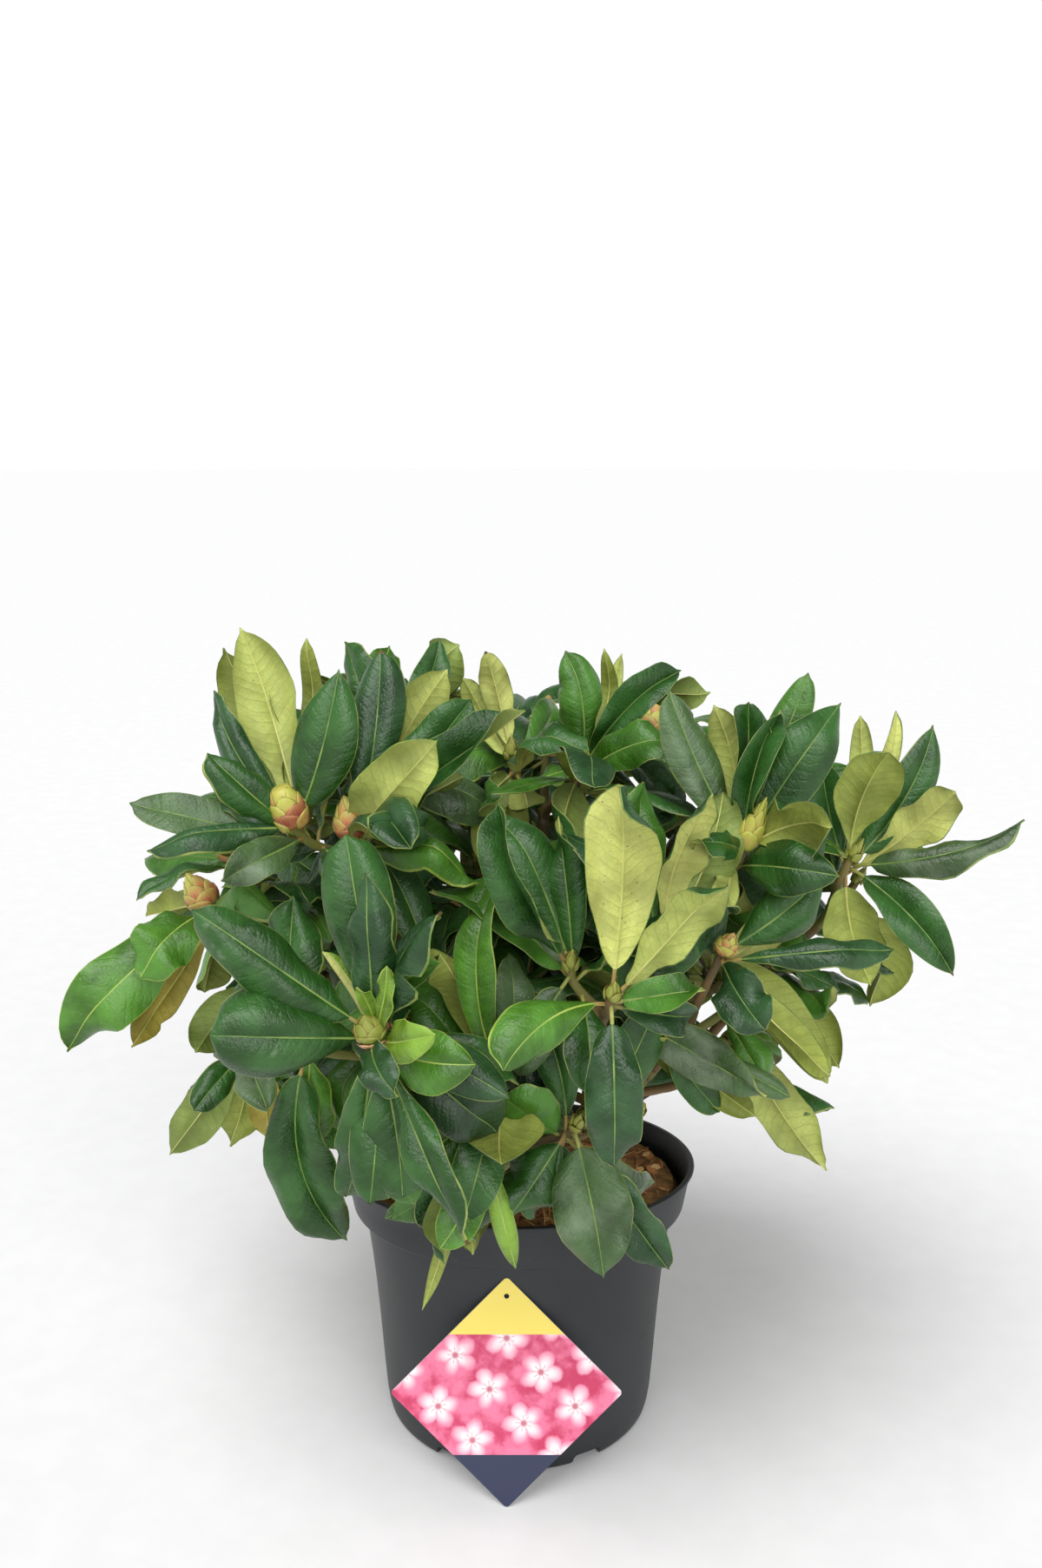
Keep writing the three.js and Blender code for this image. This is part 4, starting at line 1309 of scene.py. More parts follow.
class Finish:
    """One material, or the sky, made from nodes."""

    def __init__(self, name, world=None):
        self.material = world or bpy.data.materials.new(name)
        self.material.use_nodes = True
        self.nodes = self.material.node_tree.nodes
        self.links = self.material.node_tree.links
        self.nodes.clear()

    def node(self, kind, settings=None, values=None):
        """Adds a node. Its settings come first, then its sockets' values or links."""
        node = self.nodes.new(kind)
        for name, setting in (settings or {}).items():
            setattr(node, name, setting)
        for name, value in (values or {}).items():
            if isinstance(value, Wire):
                self.links.new(value.socket, node.inputs[name])
            else:
                node.inputs[name].default_value = value
        shown = [socket for socket in node.outputs if socket.enabled]
        return Wire(self, shown[0]) if shown else None

    def place(self):
        return self.node("ShaderNodeTexCoord").out("Object")

    def parts(self, place):
        """The three numbers of a place, apart."""
        apart = self.node("ShaderNodeSeparateXYZ", None, {0: place})
        return apart.out("X"), apart.out("Y"), apart.out("Z")

    def map_place(self):
        return self.node("ShaderNodeUVMap", {"uv_map": MAP})

    def noise(self, scale, detail, roughness=0.55, place=None, stretch=None):
        place = place or self.place()
        if stretch:
            place = self.node("ShaderNodeMapping", None, {"Vector": place, "Scale": stretch})
        return self.node("ShaderNodeTexNoise", None,
                         {"Vector": place, "Scale": scale, "Detail": detail,
                          "Roughness": roughness})

    def cells(self, scale, feature="F1"):
        return self.node("ShaderNodeTexVoronoi", {"feature": feature},
                         {"Vector": self.place(), "Scale": scale})

    def mix(self, share, low, high):
        return self.node("ShaderNodeMix", {"data_type": "RGBA"},
                         {"Factor": share, 6: low, 7: high})

    def bump(self, height, strength, distance):
        return self.node("ShaderNodeBump", None,
                         {"Height": height, "Strength": strength, "Distance": distance})

    def surface(self, **values):
        """Ends the material in a Principled shader. Spaces in socket names are given as _."""
        named = {name.replace("_", " "): value for name, value in values.items()}
        shader = self.node("ShaderNodeBsdfPrincipled", None, named)
        self.node("ShaderNodeOutputMaterial", None, {"Surface": shader})
        return self.material


# ------------------------------------------------------------------ finishes of the leaves

UPPER_TONES = {
    "deep": tone(31, 74, 14),
    "blue": tone(29, 66, 25),
    "leaf": tone(54, 100, 19),
    "dusty": tone(54, 80, 38),
    "fresh": tone(63, 110, 22),
    "young": tone(104, 138, 36),
    "dark": tone(20, 50, 17),
}
UPPER_CHANCES = {"deep": 0.36, "blue": 0.24, "leaf": 0.28, "dusty": 0.06, "fresh": 0.06}

# Tones of the lower side: partly its own paler colour, partly painted glow of light shining through
# the thin leaf.
UNDER_TONES = {
    "pale": tone(168, 178, 90),
    "cream": tone(182, 188, 100),
    "olive": tone(148, 160, 68),
    "shade": tone(124, 142, 64),
    "amber": tone(164, 150, 56),
}
UNDER_CHANCES = {"pale": 0.36, "cream": 0.2, "olive": 0.26, "shade": 0.18}

VEIN_SPACING = 8.6
VEIN_SLANT = 0.5
VEIN_BEND = 0.014


def vein_pattern(finish):
    """Side veins that slant forward from the rib: 1 on a vein, and the distance to one."""
    along, across_leaf, _ = finish.parts(finish.map_place())
    beside = abs(across_leaf - 0.5) * MAP_WIDTH
    wander = finish.noise(38, 3) * 1.7
    slant = beside * (beside * VEIN_BEND + VEIN_SLANT)
    phase = (along * MAP_LENGTH - slant) / VEIN_SPACING + wander
    off = abs(phase.fraction() - 0.5) * 2
    return off.rising(0.86, 0.98), off


def upper_finish(name, colour):
    """Leathery upper side: broad gloss, sunken veins, brown specks, and a pale bloom in places."""
    finish = Finish(f"leaf_upper_{name}")
    vein, off = vein_pattern(finish)
    patches = finish.noise(26, 3)
    grain = finish.noise(420, 2)
    shade = finish.mix(patches.rising(0.35, 0.65), shaded(colour, 0.72),
                       shaded(colour, 1.5, 0.012))
    shade = finish.mix(vein * 0.16, shade, shaded(colour, 1.9, 0.015))
    specks = finish.cells(170).rising(0.05, 0.1)
    worn = finish.noise(9, 2).rising(0.6, 0.7)
    shade = finish.mix((1 - specks) * worn * 0.5, shade, tone(60, 56, 30))
    splash = finish.noise(55, 5, 0.7).rising(0.58, 0.72) * finish.noise(7, 1).rising(0.5, 0.62)
    if name == "dusty":
        splash = splash + finish.noise(24, 4).rising(0.45, 0.66)
    shade = finish.mix(splash * 0.3, shade, tone(150, 164, 140))
    net = finish.cells(330, "DISTANCE_TO_EDGE")
    height = (1 - off * off * off) * 0.3 + grain * 0.14 + patches * 1.8 + net * 0.7
    return finish.surface(Base_Color=shade, Roughness=0.27 + patches * 0.2 + splash * 0.2,
                          Specular_IOR_Level=0.4, Coat_Weight=0.1, Coat_Roughness=0.22,
                          Normal=finish.bump(height, 0.75, 0.0010))


def under_finish(name, colour):
    """Matt lower side with a net of fine veins and small brown specks."""
    finish = Finish(f"leaf_under_{name}")
    vein, off = vein_pattern(finish)
    patches = finish.noise(34, 3)
    net = finish.cells(240, "DISTANCE_TO_EDGE").rising(0.0, 0.12)
    # The base colour here is partly painted glow of light shining through the leaf.
    shade = finish.mix(patches.rising(0.3, 0.7), shaded(colour, 0.74), shaded(colour, 1.2, 0.01))
    shade = finish.mix(vein * 0.55, shade, shaded(colour, 0.62))
    shade = finish.mix((1 - net) * 0.22, shade, shaded(colour, 0.6))
    specks = finish.cells(150).rising(0.06, 0.11)
    worn = finish.noise(12, 2).rising(0.48, 0.6)
    shade = finish.mix((1 - specks) * worn * 0.85, shade, tone(120, 84, 44))
    height = off * off * 0.5 + net * 0.12
    return finish.surface(Base_Color=shade, Roughness=0.56 + patches * 0.14,
                          Normal=finish.bump(height, 0.5, 0.0008))


def streaked_finish(name, colour, other, roughness=0.5, scale=60):
    """A slim green or woody part, blended between two colours in patches."""
    finish = Finish(name)
    patches = finish.noise(scale, 3)
    grain = finish.noise(500, 2)
    shade = finish.mix(patches.rising(0.36, 0.64), colour, other)
    return finish.surface(Base_Color=shade, Roughness=roughness + grain * 0.12,
                          Normal=finish.bump(grain + patches, 0.35, 0.0005))


def scale_finish(name, body, flush, edge, reddened):
    """A bud scale: flushed low down and in its middle, paler above, with a thin brown margin."""
    finish = Finish(name)
    spot = finish.map_place()
    along, across_scale, _ = finish.parts(spot)
    beside = abs(across_scale - 0.5) * 2
    streaks = finish.noise(3, 2, place=spot, stretch=(0.5, 7, 1))
    cloud = finish.noise(60, 2)
    down = finish.noise(900, 2)
    blush = (1 - along.rising(0.45, 1.0)) * cloud.rising(0.3, 0.52) * (1 - beside * 0.4)
    shade = finish.mix(blush * reddened, body, flush)
    shade = finish.mix(streaks.rising(0.42, 0.66) * 0.5, shade, shaded(body, 1.35))
    shade = finish.mix(beside.rising(0.86, 1.0) * along.rising(0.1, 0.6) * 0.7, shade, edge)
    shade = finish.mix(along.rising(0.9, 1.0) * 0.6, shade, edge)
    height = down * 0.6 + cloud + streaks * 1.2
    return finish.surface(Base_Color=shade, Roughness=0.4 + down * 0.16, Coat_Weight=0.1,
                          Coat_Roughness=0.3, Normal=finish.bump(height, 0.3, 0.0005))


def dealt(chances, share):
    """The name that a number from 0 to 1 falls on, by the chance of each."""
    for name, chance in chances.items():
        share -= chance
        if share < 0:
            return name
    return next(iter(chances))


class Palette:
    """Deals a colour to every leaf: the one it names, or one drawn by chance."""

    YOUTHFUL = ("fresh", "young")

    def __init__(self):
        self.finishes = {}
        for name, colour in UPPER_TONES.items():
            self.finishes[name] = upper_finish(name, colour)
        for name, colour in UNDER_TONES.items():
            self.finishes[name] = under_finish(name, colour)
        for name, colour, other, roughness in (
            ("rim", tone(140, 152, 80), tone(84, 112, 46), 0.5),
            ("rim_young", tone(160, 180, 78), tone(128, 158, 56), 0.5),
            ("rib", tone(122, 144, 70), tone(84, 116, 46), 0.5),
            ("rib_young", tone(160, 182, 84), tone(136, 164, 64), 0.5),
            ("rib_under", tone(206, 204, 122), tone(186, 190, 104), 0.5),
            ("brown_tip", tone(106, 86, 44), tone(86, 66, 36), 0.7),
        ):
            self.finishes[name] = streaked_finish(f"leaf_{name}", colour, other, roughness)
        self.petioles = [
            streaked_finish("petiole_green", tone(160, 160, 84), tone(140, 144, 70)),
            streaked_finish("petiole_tan", tone(172, 150, 84), tone(150, 124, 66)),
            streaked_finish("petiole_olive", tone(146, 142, 76), tone(150, 112, 66)),
        ]

    def choose(self, leaf, habit):
        """The names of the tints of a leaf's upper and lower side."""
        top = dealt(UPPER_CHANCES, habit.top_draw)
        under = dealt(UNDER_CHANCES, habit.under_draw)
        for word in leaf.words:
            top = word if word in UPPER_TONES else top
            under = word if word in UNDER_TONES else under
        return top, under

    def rim(self, top):
        return self.finishes["rim_young" if top in self.YOUTHFUL else "rim"]

    def rib(self, top):
        return self.finishes["rib_young" if top in self.YOUTHFUL else "rib"]

    def petiole(self, habit):
        return self.petioles[int(habit.tip_draw * 7) % 3]


# ------------------------------------------------------------------ finishes of the rest


def bark_finish():
    """Young bark: olive-brown, with dark upright cracks."""
    finish = Finish("rhododendron_bark")
    place = finish.place()
    cracks = finish.noise(70, 4, 0.6, place, (1, 1, 0.28))
    patches = finish.noise(14, 3, place=place)
    grain = finish.noise(650, 2, place=place)
    shade = finish.mix(patches.rising(0.35, 0.65), tone(104, 96, 54), tone(122, 114, 68))
    shade = finish.mix(cracks.rising(0.38, 0.52), tone(66, 50, 34), shade)
    height = cracks.rising(0.35, 0.6) + grain * 0.15
    return finish.surface(Base_Color=shade, Roughness=0.78 + grain * 0.12,
                          Normal=finish.bump(height, 0.8, 0.0012))


def pot_finish():
    """Charcoal moulded plastic: satin, finely grained, scuffed, and dusty low down."""
    finish = Finish("pot_moulded_charcoal")
    place = finish.place()
    grain = finish.noise(1500, 2, place=place)
    cloud = finish.noise(11, 3, place=place)
    scuffs = finish.noise(60, 4, 0.65, place, (1, 1, 6)).rising(0.6, 0.74)
    dust = finish.noise(260, 3, 0.6, place).rising(0.6, 0.8)
    low = 1 - finish.parts(place)[2].rising(0.0, 0.07)
    shade = finish.mix(cloud.rising(0.35, 0.7), tone(27, 29, 32), tone(36, 39, 43))
    shade = finish.mix(scuffs * 0.16, shade, tone(84, 84, 84))
    shade = finish.mix(dust * (low * 0.4 + 0.1), shade, tone(118, 108, 94))
    return finish.surface(Base_Color=shade,
                          Roughness=0.4 + cloud * 0.14 + scuffs * 0.18 + dust * 0.1,
                          Normal=finish.bump(grain * 0.3 + cloud + scuffs * 0.2, 0.25, 0.0006))


def crumb_finish(name, dark, light, scale=60):
    """Bark chips and compost: two browns, fibrous and quite matt."""
    finish = Finish(name)
    place = finish.place()
    patches = finish.noise(scale, 4, place=place)
    fibre = finish.noise(240, 3, place=place, stretch=(1, 0.25, 1))
    shade = finish.mix(patches.rising(0.35, 0.65), dark, light)
    shade = finish.mix(fibre.rising(0.55, 0.75) * 0.5, shade, tone(60, 36, 22))
    return finish.surface(Base_Color=shade, Roughness=0.86 + fibre * 0.1,
                          Normal=finish.bump(fibre + patches, 0.8, 0.0012))


CARD_FLOWERS = 3.4


def card_finish():
    """The card's face: two plain corners and a field of small five-petalled flowers."""
    finish = Finish("card_print")
    x, y, _ = finish.parts(finish.map_place())
    column = (x * CARD_FLOWERS).floor()
    cell_x = (x * CARD_FLOWERS).fraction() - 0.5
    cell_y = (y * CARD_FLOWERS + (column * 0.5).fraction()).fraction() - 0.5
    angle = cell_y.angle_to(cell_x)
    reach = (cell_x * cell_x + cell_y * cell_y).root()
    lobes = abs((angle * 2.5 + column * 1.9).wave())
    frill = finish.noise(130, 4) * 0.16 - 0.08
    flower = 1 - (reach - (lobes * 0.17 + 0.31 + frill)).rising(-0.05, 0.03)
    soft = finish.noise(45, 4)
    field = finish.mix(soft.rising(0.38, 0.62), tone(198, 44, 92), tone(236, 120, 156))
    blush = (reach + soft * 0.3 - lobes * 0.16).rising(0.16, 0.5)
    petal = finish.mix(blush, tone(250, 232, 236), tone(232, 112, 152))
    shade = finish.mix(flower, field, petal)
    threads = (angle * 9).wave().rising(0.7, 1.0) * (1 - reach.rising(0.14, 0.2))
    shade = finish.mix(threads * 0.6, shade, tone(176, 34, 74))
    shade = finish.mix((1 - reach.rising(0.03, 0.1)) * 0.8, shade, tone(186, 40, 84))
    shade = finish.mix((x + y).rising(1.5, 1.505), shade, tone(242, 220, 100))
    shade = finish.mix(1 - (x + y).rising(0.46, 0.465), shade, tone(28, 38, 72))
    paper = finish.noise(700, 2)
    return finish.surface(Base_Color=shade, Roughness=0.28 + paper * 0.06, Coat_Weight=0.5,
                          Coat_Roughness=0.12, Normal=finish.bump(paper, 0.1, 0.0002))


def card_back_finish():
    finish = Finish("card_plain_back")
    paper = finish.noise(300, 3)
    shade = finish.mix(paper.rising(0.3, 0.7), tone(232, 230, 224), tone(242, 240, 236))
    return finish.surface(Base_Color=shade, Roughness=0.45 + paper * 0.1,
                          Normal=finish.bump(paper, 0.1, 0.0003))


def floor_finish():
    finish = Finish("studio_floor")
    fine = finish.noise(30, 2)
    shade = finish.mix(fine.rising(0.3, 0.7), (0.83, 0.83, 0.83, 1), (0.85, 0.85, 0.85, 1))
    return finish.surface(Base_Color=shade, Roughness=0.9, Specular_IOR_Level=0.1)


# ------------------------------------------------------------------ leaves and twigs

LEAF_SEED = 70000
TWIG_SEED = 90000
BUD_SEED = 95000
CHIP_SEED = 4242

FINE_STEM_STEPS = 6
FINE_TWIG_STEPS = 18
FINE_TWIG_SIDES = 12


def dress_leaves(masses, palette):
    for m, mass in enumerate(masses):
        build = Build(f"leaves_{mass.name}")
        for number, leaf in enumerate(mass.leaves):
            habit = Habit(seeded(LEAF_SEED + 1000 * m + number)).shaped(leaf.words)
            points, spots, shares = leaf_points(leaf, habit)
            build.add(points, LEAF_FACES, leaf_finishes(leaf, habit, shares, palette), spots)
        build.piece("foliage", [f"foliage_{mass.name}"])


def twig_radii(draw):
    """A little uneven, with a raised ring below the bud."""
    radii = np.linspace(TWIG_FORK, TWIG_TIP, FINE_TWIG_STEPS + 1) + 0.15
    radii = radii * np.array([0.94 + 0.12 * draw() for _ in radii])
    radii[-3:] *= (1.08, 1.16, 1.0)
    return radii


def dress_twigs(masses):
    """The stem and twigs of each mass, the twigs brown or green."""
    green = streaked_finish("young_bark_green", tone(118, 120, 56), tone(126, 108, 60), 0.6, 30)
    brown = streaked_finish("young_bark_brown", tone(116, 92, 56), tone(98, 84, 54), 0.65, 30)
    for m, mass in enumerate(masses):
        build = Build(f"twigs_{mass.name}")
        stem = Curve(mass.tip + 4 * mass.inward, mass.fork - 1.5 * mass.inward)
        radii = np.linspace(BOUGH_TIP, TWIG_FORK + 0.3, FINE_STEM_STEPS + 1) + 0.25
        build.add(*tube(stem.track(FINE_STEM_STEPS), radii, FINE_TWIG_SIDES), brown)
        for n, shoot in enumerate(mass.every_shoot()):
            draw = seeded(TWIG_SEED + 100 * m + n)
            track = shoot.curve.track(FINE_TWIG_STEPS)
            points, faces = tube(track, twig_radii(draw), FINE_TWIG_SIDES)
            build.add(points, faces, brown if draw() < 0.5 else green)
        build.piece("bark")


# ------------------------------------------------------------------ buds

SCALE_ROWS = 6
SCALE_COLUMNS = 5
SCALE_THICKNESS = 0.4
SCALE_LIFT = 2.2
CORE_SIDES = 14


class Bud:
    """A bud's core: its foot, axis, radius and length, and its form."""

    def __init__(self, foot, axis, radius, length, form="pointed"):
        self.foot = foot
        self.axis = axis
        self.radius = radius
        self.length = length
        self.form = form
        self.side = unit(np.cross(axis, FRONT))
        self.other = np.cross(axis, self.side)

    def girth(self, height):
        """How wide it is at a share of its height: round and pointed, or a blunt barrel."""
        h = min(height, 1.0)
        if self.form == "barrel":
            return self.radius * math.sin(math.pi * (0.2 + 0.7 * h)) ** 0.55
        pointed = 1.08 * math.sin(math.pi * (0.13 + 0.87 * h) ** 0.8) ** 0.8 * (1 - 0.25 * h)
        return self.radius * pointed

    def place_on(self, turn, height, out):
        way = math.cos(turn) * self.side + math.sin(turn) * self.other
        reach = max(0.3, self.girth(height)) + out
        return self.foot + self.axis * self.length * height + reach * way


def scale_points(bud, turn, low, high, spread, lift):
    """The outer and inner side of one curved, pointed scale, from its low end to its free tip,
    and their map places."""
    points = []
    spots = []
    for outer in (1, 0):
        for row in range(SCALE_ROWS + 1):
            v = row / SCALE_ROWS
            half = spread * (1 - v ** 2.6) ** 0.75 * (0.72 + 0.5 * v) + 0.012
            height = low + (high - low) * v
            out = lift + SCALE_THICKNESS * outer
            for column in range(SCALE_COLUMNS + 1):
                u = 2 * column / SCALE_COLUMNS - 1
                sink = 0.18 * abs(u) ** 3 * outer
                points.append(bud.place_on(turn + half * u, height, out - sink))
                spots.append((v, 0.5 + 0.5 * u))
    return np.array(points), np.array(spots)


def shell_faces():
    """The faces of a scale: its two sides, and the rim round them."""
    around = SCALE_COLUMNS + 1
    back = around * (SCALE_ROWS + 1)
    faces = []
    for row in range(SCALE_ROWS):
        for column in range(SCALE_COLUMNS):
            a = row * around + column
            faces.append((a, a + 1, a + around + 1, a + around))
            b = back + a
            faces.append((b + around, b + around + 1, b + 1, b))
    rim = list(range(around))
    rim += [row * around + around - 1 for row in range(1, SCALE_ROWS + 1)]
    rim += [SCALE_ROWS * around + column for column in range(around - 2, -1, -1)]
    rim += [row * around for row in range(SCALE_ROWS - 1, 0, -1)]
    faces += [(b, a, back + a, back + b) for a, b in zip(rim, rim[1:] + rim[:1])]
    return faces


SCALE_FACES = shell_faces()


def add_bud(build, bud, scales, choose, draw, open_by=0.0):
    """The core, and overlapping scales wound round it by the golden angle."""
    levels = np.linspace(0, 0.97, 10)
    track = np.array([bud.foot + bud.axis * bud.length * h for h in levels])
    radii = np.array([max(0.4, bud.girth(h) - 0.5) for h in levels])
    build.add(*tube(track, radii, CORE_SIDES), choose(0.9))
    phase = 360 * draw()
    for n in range(scales):
        share = n / (scales - 1)
        low = 0.4 * share
        high = min(1.0, 0.36 + 0.66 * share)
        spread = math.radians(66 - 16 * share)
        turn = math.radians(phase + GOLDEN_ANGLE * n)
        lift = (SCALE_LIFT + open_by) * (1 - share) - SCALE_THICKNESS
        points, spots = scale_points(bud, turn, low, high, spread, lift)
        build.add(points, SCALE_FACES, choose(share), spots)


BROWN_EDGE = tone(104, 62, 38)

# For each kind of scale: its body, its flush and its margin, and how strong the flush is.
SCALE_LOOKS = {
    "bud_scale_lime": (tone(178, 184, 78), tone(200, 150, 90), BROWN_EDGE, 0.5),
    "bud_scale_rosy": (tone(182, 172, 84), tone(190, 86, 70), BROWN_EDGE, 0.95),
    "bud_scale_russet": (tone(168, 116, 70), tone(150, 56, 52), BROWN_EDGE, 0.95),
    "bud_scale_papery": (tone(208, 164, 120), tone(178, 112, 74), BROWN_EDGE, 0.8),
    "leaf_bud_green": (tone(136, 146, 58), tone(156, 146, 72), tone(128, 92, 48), 0.4),
}

# Shares of the full girth and length, and how much greener, for a flower bud of each kind.
BUD_KINDS = {
    "pointed": (0.89, 0.89, 0.0),
    "barrel": (0.89, 0.89, 0.0),
    "small": (0.5, 0.5, 0.0),
    "tall": (0.56, 1.25, 0.75),
}


def add_flower_bud(build, shoot, finishes, draw):
    """Its scales are redder low down and greener above."""
    girth, tall, greener = BUD_KINDS[shoot.bud]

    def choose(share):
        greenness = draw() + 0.8 * share + greener
        if greenness < 0.4:
            return finishes["bud_scale_russet"]
        return finishes["bud_scale_rosy" if greenness < 1.1 else "bud_scale_lime"]

    size = 0.95 + 0.1 * draw()
    bud = Bud(shoot.at - BUD_SUNK * shoot.axis, shoot.axis, BUD_RADIUS * girth * size,
              BUD_LENGTH * tall * size, shoot.bud)
    add_bud(build, bud, 15, choose, draw)


def add_opening_bud(build, shoot, finishes, draw):
    """A green bud that comes out of a cup of papery scales."""
    foot = shoot.at - 4 * shoot.axis
    add_bud(build, Bud(foot, shoot.axis, 9.5, 21), 12,
            lambda share: finishes["leaf_bud_green"], draw)
    add_bud(build, Bud(foot - 2 * shoot.axis, shoot.axis, 9, 13, "barrel"), 8,
            lambda share: finishes["bud_scale_papery"], draw, 3.2)


def add_leaf_bud(build, shoot, finishes, draw):
    bud = Bud(shoot.at - 1.5 * shoot.axis, shoot.axis, 3.8 + 1.2 * draw(), 15 + 6 * draw())
    add_bud(build, bud, 7, lambda share: finishes["leaf_bud_green"], draw)


def dress_buds(masses):
    finishes = {name: scale_finish(name, *look) for name, look in SCALE_LOOKS.items()}
    for m, mass in enumerate(masses):
        build = Build(f"buds_{mass.name}")
        for n, shoot in enumerate(mass.every_shoot()):
            draw = seeded(BUD_SEED + 100 * m + n)
            if shoot.bud == "opening":
                add_opening_bud(build, shoot, finishes, draw)
            elif shoot.flower:
                add_flower_bud(build, shoot, finishes, draw)
            else:
                add_leaf_bud(build, shoot, finishes, draw)
        build.piece("foliage")


# ------------------------------------------------------------------ the trunk and boughs

FINE_TRUNK_STEPS = 26
FINE_TRUNK_SIDES = 30
TRUNK_SUNK = 6
FINE_BOUGH_STEPS = 22
FINE_BOUGH_SIDES = 18
BARK_VOXEL = 2.1
BARK_RELIEF = 0.55


def trunk_tube(curve):
    """The trunk, which spreads into three ridges where it leaves the compost."""
    track = curve.track(FINE_TRUNK_STEPS)
    track[0][2] = COMPOST_TOP - TRUNK_SUNK
    angles = np.arange(FINE_TRUNK_SIDES) * 2 * math.pi / FINE_TRUNK_SIDES
    ridges = 0.55 + 0.45 * np.cos(3 * angles + 0.6)
    rows = []
    for share, point in zip(np.linspace(0, 1, FINE_TRUNK_STEPS + 1), track):
        flare = max(0, 1 - (point[2] - COMPOST_TOP) / TRUNK_FLARE) ** 2
        base = TRUNK_RADIUS + (TRUNK_FORK_RADIUS - TRUNK_RADIUS) * share
        rows.append(base + (TRUNK_FOOT_RADIUS - TRUNK_RADIUS) * flare * ridges)
    rows[-1] *= 0.8
    return tube(track, np.array(rows), FINE_TRUNK_SIDES)


def bough_tubes(masses):
    """A tapering tube for each bough, thickened where it leaves its parent."""
    girths = {"trunk": (TRUNK_RADIUS, TRUNK_FORK_RADIUS)}
    for mass in masses:
        root, tip = girths[mass.parent]
        girth = root + (tip - root) * mass.share
        radius = LEADER_RADIUS if mass.name == LEADER else max(LEAST_ROOT, BOUGH_TAPER * girth)
        girths[mass.name] = (radius, BOUGH_TIP)
        radii = np.linspace(radius, BOUGH_TIP, FINE_BOUGH_STEPS + 1)
        radii[:3] *= (1.35, 1.2, 1.07)
        yield tube(mass.curve.track(FINE_BOUGH_STEPS), radii, FINE_BOUGH_SIDES)


def roughen(mesh, amount):
    """Moves a mesh's points along their normals, in a relief that is drawn out upward."""
    places = np.empty(len(mesh.vertices) * 3)
    normals = np.empty(len(mesh.vertices) * 3, np.float32)
    mesh.vertices.foreach_get("co", places)
    mesh.vertex_normals.foreach_get("vector", normals)
    places = places.reshape(-1, 3)
    lifts = []
    for place in places / MM:
        spot = Vector(place * 0.09)
        spot.z *= 0.35
        lifts.append(amount * noise.fractal(spot, 0.9, 2.1, 4))
    places += normals.reshape(-1, 3) * np.array(lifts)[:, None] * MM
    mesh.vertices.foreach_set("co", places.ravel())


def dress_bark(masses, trunk_curve):
    """One skin over the trunk and all its boughs, which are grown together."""
    build = Build("bark")
    finish = bark_finish()
    build.add(*trunk_tube(trunk_curve), finish)
    for points, faces in bough_tubes(masses):
        build.add(points, faces, finish)
    bark = build.piece("bark", ["trunk"] + [f"bough_{mass.name}" for mass in masses])
    remesh = bark.modifiers.new("grown_together", "REMESH")
    remesh.mode = "VOXEL"
    remesh.voxel_size = BARK_VOXEL * MM
    apply_modifiers(bark)
    roughen(bark.data, BARK_RELIEF)
    bark.data.materials.clear()
    bark.data.materials.append(finish)
    bark.data.polygons.foreach_set("use_smooth", [True] * len(bark.data.polygons))


# ------------------------------------------------------------------ the pot

WALL_LEVELS = (18, 40, 65, 90, 115, 140, 160, 174)
NOTCH_CORNER = 4.0
NOTCH_SPLAY = 2.5
SHARP_ANGLE = 40


def pot_radius(height):
    if height >= POT_BAND_FROM:
        return POT_BAND_RADIUS
    return POT_BASE_RADIUS + POT_WALL_SPREAD * math.sqrt(height / POT_BAND_FROM)


def squeeze_at(height):
    """The share by which the round pot is pressed wider and less deep at a height."""
    return POT_SQUEEZE * (height / POT_HEIGHT) ** 3


def squeezed(points):
    share = squeeze_at(points[:, 2])
    points[:, 0] *= 1 + share
    points[:, 1] *= 1 - share
    return points


def arc(centre, radius, start, end, steps):
    """Profile points on an arc, its angles in degrees."""
    angles = np.radians(np.linspace(start, end, steps))
    return [(centre[0] + radius * math.cos(a), centre[1] + radius * math.sin(a)) for a in angles]


def lathe(profile, sides):
    """Points and faces of a profile turned about the vertical. It starts and ends at the axis."""
    angles = np.arange(sides) * 2 * math.pi / sides
    points = []
    for radius, height in profile[1:-1]:
        points += [(radius * math.cos(a), radius * math.sin(a), height) for a in angles]
    rings = len(profile) - 2
    faces = ring_faces(rings, sides)[:-2]
    low, high = len(points), len(points) + 1
    points += [(0, 0, profile[0][1]), (0, 0, profile[-1][1])]
    last = (rings - 1) * sides
    for i in range(sides):
        j = (i + 1) % sides
        faces.append((low, j, i))
        faces.append((last + i, last + j, high))
    return np.array(points, float), faces


